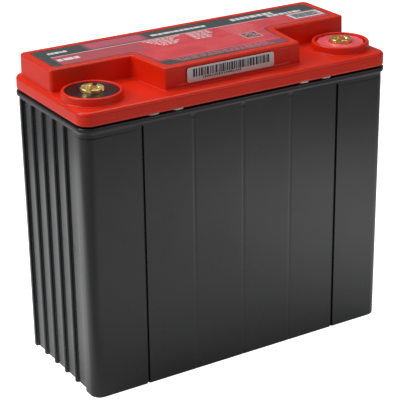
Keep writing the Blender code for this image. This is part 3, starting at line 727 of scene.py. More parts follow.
def end_section():
    """Distances along an end from its front, and the depth of the surface at each."""
    half_x, half_y = rib_half(RIB_HALF)
    rib_x = np.r_[-half_x, half_x[::-1][1:]]
    rib_y = np.r_[half_y, half_y[::-1][1:]]
    edge_x, edge_y = rib_half(0.5)
    front_x, front_y = rib_half(POST_NOSE)
    places, depths = [PANELS_FROM - RIB_HALF + front_x[::-1]], [front_y[::-1]]
    for number in range(PANELS - 1):
        middle = PANELS_FROM + (number + 1) * PANEL_WIDTH + (2 * number + 1) * RIB_HALF
        places += [[middle - PANEL_WIDTH / 2 - RIB_HALF], middle + rib_x]
        depths += [[-RIB_DEPTH], rib_y]
    last = PANELS_FROM + PANEL_SPAN
    places += [[last - PANEL_WIDTH / 2], last + RIB_HALF - edge_x]
    depths += [[-RIB_DEPTH], edge_y]
    return np.concatenate(places) + JAR_HALF[1], np.concatenate(depths)


GROOVE_HALF = 0.8
GROOVE_SLOPE = 0.3
GROOVE_DEPTH = 1.1
LINE_HALF = 1.25
LINE_DEPTH = 0.14
DIMPLE_RADIUS = 1.5
DIMPLE_DEPTH = 0.12
DIMPLE_HEIGHT = PANEL_TOP - 0.4


def face_section():
    """Distances along a long face, and which of its features stands at each.

    Round each partition come close points: a groove over the outer ones, and over
    the others a faint sink line with a dimple near the top.
    """
    near = np.array([-3.4, -2.6, -2.0, -1.6, -1.25, -0.95, -0.8, -0.65, -0.5, -0.25, 0])
    fine = np.r_[near, -near[::-1][1:]]
    places, grooves, lines, offs = [], [], [], []
    for number, x in enumerate(PARTITIONS):
        outer = number in (0, len(PARTITIONS) - 1)
        places.append(x + fine)
        grooves.append(np.clip((GROOVE_HALF - np.abs(fine)) / GROOVE_SLOPE, 0, 1) * outer)
        lines.append((1 + np.cos(np.pi * np.clip(fine / LINE_HALF, -1, 1))) / 2
                     * (not outer))
        offs.append(np.where(outer, 99.0, np.abs(fine)))
    return (np.concatenate(places) + JAR_HALF[0], np.concatenate(grooves),
            np.concatenate(lines), np.concatenate(offs))


end_places, end_depths = end_section()
face_places, face_grooves, face_lines, face_offs = face_section()
far_end_places = 2 * JAR_HALF[1] - end_places[::-1]
jar_sides = {0: face_places, 1: end_places, 2: face_places, 3: far_end_places}
jar_outline = rounded_outline(rectangle(*JAR_HALF), JAR_CORNER, CORNER_STEPS, jar_sides)
corner_zeros = np.zeros(CORNER_STEPS + 1)


def round_the_jar(on_face, on_end):
    """Values for every outline point, from those of a long face and of an end.

    The outline runs round, so it meets the second face and end from their other side.
    """
    return np.concatenate([corner_zeros, on_face, corner_zeros, on_end,
                           corner_zeros, on_face[::-1], corner_zeros, on_end[::-1]])


panel_depth = round_the_jar(np.zeros(len(face_places)), end_depths)
groove_share = round_the_jar(face_grooves, np.zeros(len(end_places)))
line_share = round_the_jar(face_lines, np.zeros(len(end_places)))
dimple_off = round_the_jar(face_offs, np.full(len(end_places), 99.0))
print("round the jar:", len(panel_depth), "points, a panel is",
      round(PANEL_WIDTH, 2), "mm wide")

# %% The jar's levels and its displacement
FOOT_RADIUS = 0.9
RIM_ROUND = 0.6
NECK_FILLET = 0.3


def smooth_step(value, low, high):
    """A cubic that goes smoothly from 0 at low to 1 at high."""
    share = np.clip((value - low) / (high - low), 0, 1)
    return share * share * (3 - 2 * share)


def jar_offset(height):
    """How far the outside leaves the outline at a height: a sum of distances.

    Draft grows to the foot. Below the foot's radius r the edge comes in by
    r - sqrt(r^2 - (r - z)^2). Panels and grooves end softly under the rim, and a
    dimple is a round hollow about a point on a line.
    """
    draft = -JAR_DRAFT * (1 - height / JAR_TOP)
    low = np.clip(FOOT_RADIUS - height, 0, FOOT_RADIUS)
    foot = -(FOOT_RADIUS - np.sqrt(FOOT_RADIUS ** 2 - low ** 2))
    open_panel = 1 - smooth_step(height, PANEL_TOP - 0.5, PANEL_TOP + 0.4)
    open_line = 1 - smooth_step(height, PANEL_TOP - 3.0, PANEL_TOP)
    away = np.hypot(dimple_off, height - DIMPLE_HEIGHT)
    dimple = -DIMPLE_DEPTH * (1 - smooth_step(away, DIMPLE_RADIUS * 0.55, DIMPLE_RADIUS))
    return (draft + foot + panel_depth * open_panel
            - GROOVE_DEPTH * groove_share * open_panel
            - LINE_DEPTH * line_share * open_line + dimple)


foot_levels = FOOT_RADIUS * (1 - np.cos(np.linspace(0, np.pi / 2, 7)))
body_levels = np.array([4, 20, 40, 60, 80, 100, 120, 132, 138, 140.2])
top_levels = np.arange(PANEL_TOP - 2.2, PANEL_TOP + 1.1, 0.2)
neck = JAR_TOP - RIM_HEIGHT
levels = np.r_[foot_levels, body_levels, top_levels, neck - NECK_FILLET]
jar_rings = [ring(moved(jar_outline, jar_offset(level)), level) for level in levels]
under = quarter(NECK_FILLET, 3)
over = quarter(RIM_ROUND, 5)
rim_profile = [(out, neck - NECK_FILLET + rise) for out, rise in under[1:]]
rim_profile += [(OVERHANG - RIM_ROUND, neck)]
rim_profile += [(OVERHANG - RIM_ROUND + rise, neck + out) for out, rise in over[1:]]
rim_profile += [(OVERHANG - out, JAR_TOP - RIM_ROUND + rise) for out, rise in over]
jar_rings += list(rings(jar_outline, rim_profile))
print("levels up the jar:", len(jar_rings))

# %% Cells inside the jar
WALL = 1.8
FLOOR = 2.6
PARTITION = 1.6
CELL_CORNER = 0.8
CELL_HALF_X = JAR_HALF[0] - RIB_DEPTH - WALL
CELL_HALF_Y = JAR_HALF[1] - WALL


def cell_outline(index, draft=0.0):
    """One cell's outline. Its outer walls lean in by a draft, its partitions don't."""
    low = -CELL_HALF_X + index * CELL_PITCH
    high = low + CELL_PITCH - PARTITION
    low += draft * (index == 0)
    high -= draft * (index == len(CELL_X) - 1)
    side = CELL_HALF_Y - draft
    corners = box_corners((low, -side), (high, side))
    return rounded_outline(corners, CELL_CORNER, 4)[0]


def round_plug(centre, radius, length, steps=32):
    """A closed cylinder along X, as a skin."""
    skin = Skin()
    around = circle((0, 0), radius, steps)
    ends = [np.c_[np.full(steps, x), around] for x in (-length / 2, length / 2)]
    skin.wall([end + centre for end in ends])
    for end in ends:
        skin.add(end + centre, [tuple(range(steps))])
    return skin


jar = Skin()
jar.wall(jar_rings)
jar.flat(0.0, jar_rings[0])
jar.flat(JAR_TOP, jar_rings[-1], [cell_outline(index) for index in range(len(CELL_X))])
for index in range(len(CELL_X)):
    top, bottom = cell_outline(index), cell_outline(index, JAR_DRAFT)
    jar.wall([ring(top, JAR_TOP), ring(bottom, FLOOR)])
    jar.flat(FLOOR, bottom)
jar_mesh = skin_mesh("jar", jar)
WELD_GAP = 0.3
for index in range(1, len(CELL_X)):
    low, high = node_box("intercell_weld_%d" % index)
    hole = round_plug((low + high) / 2, (high - low)[2] / 2 + WELD_GAP, PARTITION + 0.6)
    jar_mesh = combined(jar_mesh, skin_mesh("weld_hole", hole), "DIFFERENCE")
piece("jar", jar_mesh, "root", black_plastic, ["case"])

# %% [markdown]
# ## The lid
# The lid drops over the jar's rim. From outside it is a skirt, a deck, and a plateau
# that steps round both terminals, all with rounded edges so that it leaves its mould.
# The outside and the underside are separate sets of rings and flats in one skin. The
# round bosses are turned apart and joined on with a Boolean union, because their foot
# runs into the rounded edge of the deck, where no flat fill could follow it.

# %% Outlines of the lid
SKIRT_ROUND = 1.8
LIP_WIDTH = 1.0
LIP_ROUND = 0.55
LIP_LIFT = 0.5
CHANNEL_TOP = LID_FOOT + 1.4
LID_WALL = 2.5
CEILING = DECK - LID_WALL
WINDOWS = (-52.0, -38.0, 38.0, 52.0)
WINDOW_HALF = 2.75
WINDOW_RISE = 0.4
MARK_HEIGHT = 152.2
MARK_REACH = 1.5
MARK_STROKE = 0.32
MARK_RISE = 0.19
MARK_X = TERMINAL[0] + 0.3

mark_steps = np.linspace(-MARK_REACH - 0.3, MARK_REACH + 0.3, 25)
window_steps = WINDOW_HALF * np.array([-1.06, -1.03, -0.98, -0.9, -0.5, 0, 0.5, 0.9,
                                       0.98, 1.03, 1.06])
skirt_x = np.sort(np.concatenate([window_steps + x for x in WINDOWS]
                                 + [mark_steps - MARK_X, mark_steps + MARK_X, [0.0]]))
skirt_sides = {0: skirt_x + LID_HALF[0], 2: skirt_x + LID_HALF[0]}
lid_outline = rounded_outline(rectangle(*LID_HALF), LID_CORNER, 12, skirt_sides)
window_share = np.zeros(len(lid_outline[0]))
for x in WINDOWS:
    near = 1 - smooth_step(np.abs(lid_outline[0][:, 0] - x), WINDOW_HALF * 0.93,
                           WINDOW_HALF * 1.04)
    window_share = np.maximum(window_share, near)
window_share *= np.abs(lid_outline[1][:, 1]) > 0.99


def mark_relief(height):
    """Relief of a plus at the right and a minus at the left, on the front only.

    A stroke is where the distance across it is under half its width, eased over a
    short run, and where the distance along it is under its reach.
    """
    points, normals = lid_outline
    relief = np.zeros(len(points))
    front = normals[:, 1] < -0.99
    up_off = np.full(len(points), height - MARK_HEIGHT)
    for side in (-1, 1):
        side_off = points[:, 0] - side * MARK_X
        strokes = [(side_off, up_off)]
        if side > 0:
            strokes.append((up_off, side_off))
        for along, across in strokes:
            inner = (1 - smooth_step(np.abs(across), MARK_STROKE * 0.8, MARK_STROKE * 1.6))
            ends = 1 - smooth_step(np.abs(along), MARK_REACH * 0.85, MARK_REACH)
            relief = np.maximum(relief, inner * ends)
    return MARK_RISE * relief * front


PLATEAU_END_INSET = 2.4
PLATEAU_END = LID_HALF[0] - PLATEAU_END_INSET
PLATEAU_BACK = LID_HALF[1] - 4.2
PLATEAU_FRONT = -LID_HALF[1] + 9.0
RECESS_BACK = -LID_HALF[1] + 37.5
RECESS_SIDE_BACK = LID_HALF[0] - 48.2
RECESS_SIDE_FRONT = LID_HALF[0] - 51.3
PLATEAU_RADII = [1.4, 1.2, 1.6, 3.4, 3.4, 2.2, 1.2, 1.4]
LABEL_RADII = [2.4, 4.0, 2.4, 2.4, 2.4, 2.4, 4.0, 2.4]
LABEL_MARGIN = PLATEAU_END - LABEL_HIGH[0]


def inset(corners, distance):
    """Corners of a polygon whose sides are moved inwards: where moved sides cross."""
    corners = np.asarray(corners, float)
    ahead = np.roll(corners, -1, axis=0) - corners
    ahead /= np.linalg.norm(ahead, axis=1)[:, None]
    arriving = np.roll(ahead, 1, axis=0)
    inwards = np.stack([-ahead[:, 1], ahead[:, 0]], 1)
    before = np.stack([-arriving[:, 1], arriving[:, 0]], 1)
    middle = inwards + before
    return corners + middle * (distance / (1 + (inwards * before).sum(1)))[:, None]


right_side = [(RECESS_SIDE_FRONT, PLATEAU_FRONT), (RECESS_SIDE_BACK, RECESS_BACK),
              (PLATEAU_END, RECESS_BACK), (PLATEAU_END, PLATEAU_BACK)]
plateau_corners = right_side + [(-x, y) for x, y in reversed(right_side)]
PANEL_LOW_X, PANEL_HIGH_X = -34.0, 34.0
FRONT_PANEL_DEPTH = 0.22
panel_edges = np.array([0, 0.15, 0.3, 0.45, 0.6])
front_x = np.r_[PANEL_LOW_X + panel_edges - 0.3, 0, PANEL_HIGH_X + panel_edges - 0.3]
front_start = -RECESS_SIDE_FRONT
plateau_outline = rounded_outline(plateau_corners, PLATEAU_RADII, 10,
                                  {7: front_x - front_start})
print("lid outline:", len(lid_outline[0]), "points; plateau:", len(plateau_outline[0]))

# %% Outside of the lid
PLATEAU_FOOT = 0.5
PLATEAU_DRAFT = 0.3
PLATEAU_ROUND = 0.9
SEAT_LEVEL = LABEL_LOW[2] - 0.3
COVER_GAP = 0.3
LEDGE = 1.2
SEAT_EDGE = 0.2
BOSS_HOLE = 11.4
lid = Skin()

lip = quarter(LIP_ROUND, 3)
edge = quarter(SKIRT_ROUND, 9)
mark_levels = MARK_HEIGHT + mark_steps
skirt_levels = np.r_[LID_FOOT + 1.52, mark_levels, DECK - SKIRT_ROUND]
skirt_rings = [ring(moved(lid_outline, rise - LIP_ROUND),
                    LID_FOOT + LIP_LIFT + run + window_share * WINDOW_RISE)
               for run, rise in lip]
skirt_rings += [ring(moved(lid_outline, mark_relief(level)), level)
                for level in skirt_levels]
skirt_rings += [ring(moved(lid_outline, -run), DECK - SKIRT_ROUND + rise)
                for run, rise in edge[1:]]
lid.wall(skirt_rings)


def front_panel(height):
    """Inward offset of the shallow panel round the bar code on the front wall."""
    points, normals = plateau_outline
    tall = (smooth_step(height, DECK + 1.6, DECK + 2.0)
            * (1 - smooth_step(height, PLATEAU_TOP - 2.2, PLATEAU_TOP - 1.8)))
    wide = (smooth_step(points[:, 0], PANEL_LOW_X - 0.3, PANEL_LOW_X + 0.3)
            * (1 - smooth_step(points[:, 0], PANEL_HIGH_X - 0.3, PANEL_HIGH_X + 0.3)))
    return -FRONT_PANEL_DEPTH * tall * wide * (normals[:, 1] < -0.99)


foot = quarter(PLATEAU_FOOT, 6)
crown = quarter(PLATEAU_ROUND, 8)
wall_levels = np.r_[DECK + PLATEAU_FOOT, DECK + 1.5 + panel_edges,
                    PLATEAU_TOP - 2.3 + panel_edges, PLATEAU_TOP - PLATEAU_ROUND]
plateau_rings = [ring(moved(plateau_outline, PLATEAU_FOOT - rise), DECK + run)
                 for run, rise in foot]
for level in wall_levels:
    share = (level - DECK) / (PLATEAU_TOP - DECK)
    out = front_panel(level) - PLATEAU_DRAFT * share
    plateau_rings.append(ring(moved(plateau_outline, out), level))
plateau_rings += [ring(moved(plateau_outline, -PLATEAU_DRAFT - run),
                       PLATEAU_TOP - PLATEAU_ROUND + rise) for run, rise in crown]
lid.wall(plateau_rings)

seat_outline = rounded_outline(inset(plateau_corners, LABEL_MARGIN - COVER_GAP),
                               LABEL_RADII, 8)
seat_rings = [ring(moved(seat_outline, SEAT_EDGE - rise), PLATEAU_TOP - run)
              for run, rise in quarter(SEAT_EDGE, 3)]
seat_rings.append(ring(seat_outline[0], SEAT_LEVEL))
rebate = rounded_outline(box_corners(COVER_LOW, COVER_HIGH, COVER_GAP), 0.5, 3)
rebate_floor = COVER_LOW[2] - COVER_GAP
places = [(-TERMINAL[0], TERMINAL[1]), (TERMINAL[0], TERMINAL[1])]
boss_holes = [circle(place, BOSS_HOLE) for place in places]
lid.flat(DECK, skirt_rings[-1], [plateau_rings[0]] + boss_holes)
lid.flat(PLATEAU_TOP, plateau_rings[-1], [seat_rings[0]])
lid.wall(seat_rings)
print("outside rings:", len(skirt_rings), "and", len(plateau_rings))

# %% Vent chamber, chimneys and underside
CHIMNEY_RADIUS = 3.7
BORE_RADIUS = 2.25
CHIMNEY_TOP = CAPS[0][1][2] - 2.1
chamber_corners = box_corners(COVER_LOW, COVER_HIGH, COVER_GAP - LEDGE)
chamber = rounded_outline(chamber_corners, 0.8, 4)[0]
vents = [(x, VENT_Y) for x in CELL_X]
lid.flat(SEAT_LEVEL, seat_outline[0], [rebate[0]])
lid.wall([ring(rebate[0], SEAT_LEVEL), ring(rebate[0], rebate_floor)])
lid.flat(rebate_floor, rebate[0], [chamber])
lid.wall([ring(chamber, rebate_floor), ring(chamber, DECK)])
lid.flat(DECK, chamber, [circle(vent, CHIMNEY_RADIUS, 40) for vent in vents])
for vent in vents:
    lid.wall(turned_rings(vent, [(CHIMNEY_RADIUS, DECK), (CHIMNEY_RADIUS, CHIMNEY_TOP - 0.3),
                                 (CHIMNEY_RADIUS - 0.3, CHIMNEY_TOP),
                                 (BORE_RADIUS, CHIMNEY_TOP), (BORE_RADIUS, CEILING)], 40))

lip_inner = ring(moved(lid_outline, -LIP_WIDTH),
                 LID_FOOT + LIP_LIFT + window_share * WINDOW_RISE)
lid.wall([skirt_rings[0], lip_inner, ring(lip_inner[:, :2], CHANNEL_TOP)])
DEEP_TOP = SEAT_LEVEL - LID_WALL
DEEP_END = RECESS_SIDE_FRONT - LID_WALL
DEEP_FRONT = PLATEAU_FRONT + LID_WALL
DEEP_BACK = COVER_LOW[1] - COVER_GAP - LID_WALL
pockets = [cell_outline(index) for index in range(len(CELL_X))]
lid.flat(CHANNEL_TOP, lip_inner, pockets)
for index, pocket in enumerate(pockets):
    lid.wall([ring(pocket, CHANNEL_TOP), ring(pocket, CEILING)])
    holes = [circle(vents[index], BORE_RADIUS, 40)]
    if index in (0, len(pockets) - 1):
        holes.append(boss_holes[index > 0])
    low = max(pocket[:, 0].min(), -DEEP_END)
    high = min(pocket[:, 0].max(), DEEP_END)
    if high - low > 2 * CELL_CORNER:
        box = box_corners((low, DEEP_FRONT), (high, DEEP_BACK))
        deep = rounded_outline(inset(box, 0.01), CELL_CORNER, 4)[0]
        holes.append(deep)
        lid.wall([ring(deep, CEILING), ring(deep, DEEP_TOP)])
        lid.flat(DEEP_TOP, deep)
    lid.flat(CEILING, pocket, holes)
for hole in boss_holes:
    lid.wall([ring(hole, CEILING), ring(hole, DECK)])
print("lid skin:", lid.count, "points")

# %% Bosses
BOSS_RADIUS = 15.5
BOSS_TOP = DECK + 4.3
WELL_RADIUS = 13.6
WELL_FLOOR = DECK + 1.3
SEAT_RADIUS = 10.6
SEAT_DEPTH = 2.5
POST_HOLE = 8.5
BOSS_FLARE = 0.9
BOSS_ROUND = 0.9
WELL_ROUND = 0.55
BOSS_ROOT = 13.0
ROOT_DROP = 0.2
FLARE_DROP = 0.8
BOSS_DRAFT = 0.08
FLARE_SINK = 0.03


def boss_profile():
    """Closed section of a boss: out along the foot, over the lip, down the well."""
    flare = quarter(BOSS_FLARE, 6)
    outer, inner = quarter(BOSS_ROUND, 7), quarter(WELL_ROUND, 5)
    root, seat = CEILING - ROOT_DROP, WELL_FLOOR - SEAT_DEPTH
    path = [(POST_HOLE, root), (BOSS_ROOT, root), (BOSS_ROOT, DECK - FLARE_DROP),
            (BOSS_RADIUS + BOSS_FLARE, DECK - FLARE_DROP)]
    path += [(BOSS_RADIUS + BOSS_FLARE - rise, DECK - FLARE_SINK + run)
             for run, rise in flare]
    path += [(BOSS_RADIUS - BOSS_DRAFT - run, BOSS_TOP - BOSS_ROUND + rise)
             for run, rise in outer]
    path += [(WELL_RADIUS + WELL_ROUND - rise, BOSS_TOP - run) for run, rise in inner]
    path += [(WELL_RADIUS, WELL_FLOOR), (SEAT_RADIUS, WELL_FLOOR), (SEAT_RADIUS, seat),
             (POST_HOLE, seat), (POST_HOLE, root)]
    return path


lid_mesh = skin_mesh("lid_moulding", lid)
for place in places:
    boss = Skin()
    boss.wall(turned_rings(place, boss_profile(), 96))
    lid_mesh = combined(lid_mesh, skin_mesh("boss", boss), "UNION")
piece("lid_moulding", lid_mesh, "root", red_plastic, ["lid"])

# %% [markdown]
# ## The sealing bead
# Jar and lid are glued by a bead of resin that lies on the jar's walls and partitions.
# It is seen only where the lid's lip has small windows, through which a little of it
# was squeezed out. So it is a frame with six openings, and its outer wall swells where
# a window is, by a share that is one in the middle of the window and none at its ends.
# The resin is painted as a lit and a shaded copy: pale near the windows, where light
# reaches it, and near black elsewhere, a painted shade for the lid's channel.

# %% Sealing bead
SEAL_LOW, SEAL_HIGH = node_box("seam_seal")
SEAL_SWELL = 1.1
SEAL_TUCK = 0.2
SWELL_AT_EDGES = 0.35
bead_x = np.sort(np.concatenate([x + WINDOW_HALF * np.linspace(-0.94, 0.94, 17)
                                 for x in WINDOWS]))
bead_sides = {0: bead_x + SEAL_HIGH[0], 2: bead_x + SEAL_HIGH[0]}
bead_outline = rounded_outline(rectangle(*SEAL_HIGH[:2]), LID_CORNER - LIP_WIDTH - 0.3, 8,
                               bead_sides)
swell = np.zeros(len(bead_outline[0]))
for x in WINDOWS:
    off = np.abs(bead_outline[0][:, 0] - x) / (WINDOW_HALF * 0.92)
    swell = np.maximum(swell, np.sqrt(np.clip(1 - off ** 4, 0, 1)))
swell *= np.abs(bead_outline[1][:, 1]) > 0.99
bead_round = np.linspace(-np.pi / 2, np.pi / 2, 9)
bead_middle = (SEAL_LOW[2] + SEAL_HIGH[2]) / 2
bead_half = (SEAL_HIGH[2] - SEAL_LOW[2]) / 2
bead = Skin()
bead_rings = []
for angle in bead_round:
    bulge = SWELL_AT_EDGES + (1 - SWELL_AT_EDGES) * np.cos(angle)
    out = swell * SEAL_SWELL * bulge - SEAL_TUCK * (1 - np.cos(angle))
    bead_rings.append(ring(moved(bead_outline, out),
                           bead_middle + bead_half * np.sin(angle)))
bead.wall(bead_rings)
bead.flat(SEAL_LOW[2], bead_rings[0], pockets)
bead.flat(SEAL_HIGH[2], bead_rings[-1], pockets)
for pocket in pockets:
    bead.wall([ring(pocket, SEAL_LOW[2]), ring(pocket, SEAL_HIGH[2])])

seal_finish, tree, shader = new_finish("sealing_resin", Roughness=0.3)
place, x, _, _ = place_nodes(tree)
cured = use(tree, GRAIN, Place=place, Grain_size=0.35)
along = sums(tree, "ABSOLUTE", x)
# Painted light and shade: a mask near the windows picks the lit pale copy, elsewhere the near
# black shaded copy.
lit_at_windows = 0.0
for x_place in WINDOWS[2:]:
    off = sums(tree, "ABSOLUTE", sums(tree, "SUBTRACT", along, x_place))
    lit_at_windows = sums(tree, "ADD", lit_at_windows, ramp(tree, off, WINDOW_HALF * 1.1, WINDOW_HALF))
pale = mixed(tree, cured["Mottle"], colour(214, 210, 200), colour(238, 236, 230))
tree.links.new(mixed(tree, lit_at_windows, colour(10, 10, 10), pale), shader.inputs["Base Color"])
tree.links.new(sums(tree, "MULTIPLY_ADD", cured["Height"], 0.25, 0.22),
               shader.inputs["Roughness"])
shader.inputs["Subsurface Weight"].default_value = 0.15
shader.inputs["Subsurface Radius"].default_value = (0.001, 0.0009, 0.0007)
bump(tree, shader, cured["Height"], 0.06)
piece("sealing_bead", skin_mesh("sealing_bead", bead), "root", seal_finish,
      ["seam_seal"])

# %% [markdown]
# ## The labels
# The top label is a thin printed film in a shallow seat. Its colour fields, a dark
# band along the back, a fine white line, a red field and a dark foot, lie in the
# finish as soft-edged boxes in object coordinates, since print has no height. Words
# are left out. In their place stand rows of small bars of unlike lengths, which are
# thin pieces of their own, so they stay crisp however close one looks. A seeded
# generator draws their lengths, and gives the same rows each time. A brown line runs
# round the film just inside its edge, and a square of random cells stands for a code.

# %% Label film
FILM_ROUND = 0.1


def film(outline, low, high, axis_y=None):
    """A thin film over an outline, with rounded upper edges.

    With axis_y the outline stands in X and Z and the film looks to -Y, its back at
    axis_y: a point (x, y, height) then goes to (x, axis_y - height, y).
    """
    skin = Skin()
    edge = quarter(FILM_ROUND, 4)
    sides = [ring(outline[0], low)]
    sides += [ring(moved(outline, -run), high - FILM_ROUND + rise) for run, rise in edge]
    skin.wall(sides)
    skin.flat(low, sides[0])
    skin.flat(high, sides[-1])
    if axis_y is not None:
        skin.points = [stood_up(points, axis_y) for points in skin.points]
    return skin


def stood_up(points, axis_y):
    """Points drawn flat, set upright: Y becomes height, and height comes forward."""
    return np.stack([points[:, 0], axis_y - points[:, 2], points[:, 1]], 1)


def printed_bars(boxes, level, height=0.03, axis_y=None):
    """Closed boxes for printed bars. Each row of boxes is low x, high x, low y, high y.

    The eight corners of every box come from one table of which end each takes, so
    all boxes are made in one step.
    """
    boxes = np.asarray(boxes, float)
    ends_x = np.array([0, 1, 1, 0, 0, 1, 1, 0])
    ends_y = np.array([2, 2, 3, 3, 2, 2, 3, 3])
    rise = np.array([0, 0, 0, 0, 1, 1, 1, 1]) * height
    points = np.stack([boxes[:, ends_x], boxes[:, ends_y],
                       np.broadcast_to(level + rise - height / 3, (len(boxes), 8))], 2)
    faces = np.array([[3, 2, 1, 0], [4, 5, 6, 7], [0, 1, 5, 4], [1, 2, 6, 5],
                      [2, 3, 7, 6], [3, 0, 4, 7]])
    faces = (faces + 8 * np.arange(len(boxes))[:, None, None]).reshape(-1, 4)
    points = points.reshape(-1, 3)
    skin = Skin()
    skin.add(points if axis_y is None else stood_up(points, axis_y), faces)
    return skin


def bar_row(start, end, low, high, seed, mean=2.2, gap=0.55):
    """Bars of random lengths, with gaps, that fill a row from start to end."""
    draw = np.random.default_rng(seed)
    lengths = draw.uniform(0.45, 1.6, int((end - start) / (mean * 0.45)) + 2) * mean
    ends = start + np.cumsum(lengths + gap) - gap
    starts = ends - lengths
    keep = ends < end
    starts, ends = starts[keep], ends[keep]
    return np.stack([starts, ends, np.full(len(ends), low), np.full(len(ends), high)], 1)


label_outline = rounded_outline(inset(plateau_corners, LABEL_MARGIN), LABEL_RADII, 8)
LINE_Y = 17.6
BORDER = 1.1
BORDER_EDGE = 0.15
INK_DROP = 0.02
LINE_START, LINE_END = -79.5, 50.0
# start, end, low, high, seed, mean length and gap of the larger white words
WHITE_WORDS = [(-78.5, -65, 22.4, 25.2, 2, 2.0, 0.4), (-18, 18, 22.2, 24.9, 4, 2.6, 0.5),
               (33, 62, 22.8, 26.8, 6, 2.6, 0.7), (54, 79, 18.6, 21.8, 7, 2.4, 0.7),
               (-79, -64, 9.6, 13.2, 8, 3.4, 0.7)]
white_rows = [[[LINE_START, LINE_END, LINE_Y - 0.28, LINE_Y + 0.28]]]
white_rows += [bar_row(*word) for word in WHITE_WORDS]
for row in range(6):
    low = 15.2 - row * 2.1
    white_rows.append(bar_row(-27.5 + row * 1.2, -4 - row * 1.5, low, low + 0.95,
                              20 + row, 2.6, 0.6))
    white_rows.append(bar_row(-1, 15 - row, low, low + 0.95, 40 + row, 2.4, 0.6))
pink_rows = [[[-30.5, 34.0, -17.2, -16.8]]]
for row in range(9):
    low = 15.6 - row * 2.0
    pink_rows.append(bar_row(19 + row * 0.2, 41 - row * 0.6, low, low + 0.5, 60 + row,
                             5.0, 0.5))
for row in range(3):
    low = -19.6 - row * 1.7
    pink_rows.append(bar_row(-30 + row * 1.5, 30, low, low + 0.6, 80 + row, 3.5, 0.9))
CODE_X, CODE_Y, CODE_HALF = 27.0, -4.5, 5.0
CODE_MARGIN = 0.9
CODE_INKED = 0.97
print("white bars:", sum(len(rows) for rows in white_rows))

# %% Label finish


def box_mask(tree, x, y, low_x, high_x, low_y, high_y, soft):
    """A mask that is one inside a box and falls to none over a soft edge."""
    sides = [ramp(tree, x, low_x - soft, low_x + soft),
             ramp(tree, x, high_x + soft, high_x - soft),
             ramp(tree, y, low_y - soft, low_y + soft),
             ramp(tree, y, high_y + soft, high_y - soft)]
    mask = sides[0]
    for side in sides[1:]:
        mask = sums(tree, "MULTIPLY", mask, side)
    return mask


CHARCOAL = colour(66, 74, 77)
LABEL_RED = colour(214, 66, 76)
LILAC = colour(196, 92, 112)
PLUM = colour(128, 74, 96)
label_finish, tree, shader = new_finish("label_print", Roughness=0.34)
place, x, y, _ = place_nodes(tree)
paper = use(tree, GRAIN, Place=place, Grain_size=0.6)
cloud = node(tree, "TexNoise", {"Vector": place, "Scale": 0.11, "Detail": 4.0}).outputs[0]
field = mixed(tree, ramp(tree, cloud, 0.35, 0.65), LABEL_RED, colour(222, 82, 88))
# low x, high x, low y, high y and softness of each printed field, then its colour
PRINTED_FIELDS = [
    ((-84.5, -30.0, 2.0, LINE_Y, 1.2), colour(184, 82, 92)),
    ((-90, 90, LINE_Y + 0.4, 40, 0.12), CHARCOAL),
    ((-56, -22, LINE_Y + 1.8, 40, 2.4), LILAC),
    ((-90, -79.8, 0, 40, 0.6), CHARCOAL),
    ((-40, 12, -30, -17.8, 2.0), CHARCOAL),
    ((2, 37, -25, -18.4, 3.0), PLUM),
    ((64.0, 84.0, 7.4, 17.0, 0.12), colour(222, 224, 224)),
    ((65.4, 82.6, 8.6, 15.8, 0.12), colour(168, 174, 178)),
    ((CODE_X - CODE_HALF, CODE_X + CODE_HALF, CODE_Y - CODE_HALF, CODE_Y + CODE_HALF,
      0.12), colour(226, 170, 170)),
]
for extent, shade in PRINTED_FIELDS:
    field = mixed(tree, box_mask(tree, x, y, *extent), field, shade)
tree.links.new(field, shader.inputs["Base Color"])
tree.links.new(sums(tree, "MULTIPLY_ADD", cloud, 0.12, 0.26), shader.inputs["Roughness"])
bump(tree, shader, paper["Height"], 0.004)
piece("top_label_film", skin_mesh("top_label_film", film(label_outline, LABEL_LOW[2],
                                                         LABEL_HIGH[2] - INK_DROP)),
      "root", label_finish, ["top_label"])


def print_finish(name, main, other, roughness=0.45):
    """A thin layer of ink: a main shade that a fine noise lightens in places."""
    made, tree, shader = new_finish(name, Roughness=roughness)
    place, _, _, _ = place_nodes(tree)
    ink = use(tree, GRAIN, Place=place, Grain_size=0.2)
    tree.links.new(mixed(tree, ink["Height"], main, other), shader.inputs["Base Color"])
    tree.links.new(sums(tree, "MULTIPLY_ADD", ink["Mottle"], 0.12, roughness - 0.06),
                   shader.inputs["Roughness"])
    return made


white_ink = print_finish("white_ink", colour(232, 232, 230), colour(206, 208, 208))
pink_ink = print_finish("pink_ink", colour(238, 150, 150), colour(226, 128, 130))
dark_ink = print_finish("dark_ink", colour(30, 33, 38), colour(52, 56, 62))
ink_level = LABEL_HIGH[2] - INK_DROP
for name, rows, finish in (("label_white_print", white_rows, white_ink),
                           ("label_pink_print", pink_rows, pink_ink)):
    skin = printed_bars(np.concatenate(rows), ink_level)
    piece(name, skin_mesh(name, skin), "root", finish)

border_levels = (ink_level - INK_DROP / 2, ink_level + INK_DROP)
border_out = moved(label_outline, -BORDER_EDGE)
border_in = moved(label_outline, -BORDER)
border = Skin()
for outline in (border_out, border_in):
    border.wall([ring(outline, level) for level in border_levels])
for level in border_levels:
    border.flat(level, border_out, [border_in])
brown_ink = print_finish("brown_ink", colour(88, 70, 56), colour(104, 84, 66))
piece("label_border_print", skin_mesh("label_border_print", border), "root",
      brown_ink)

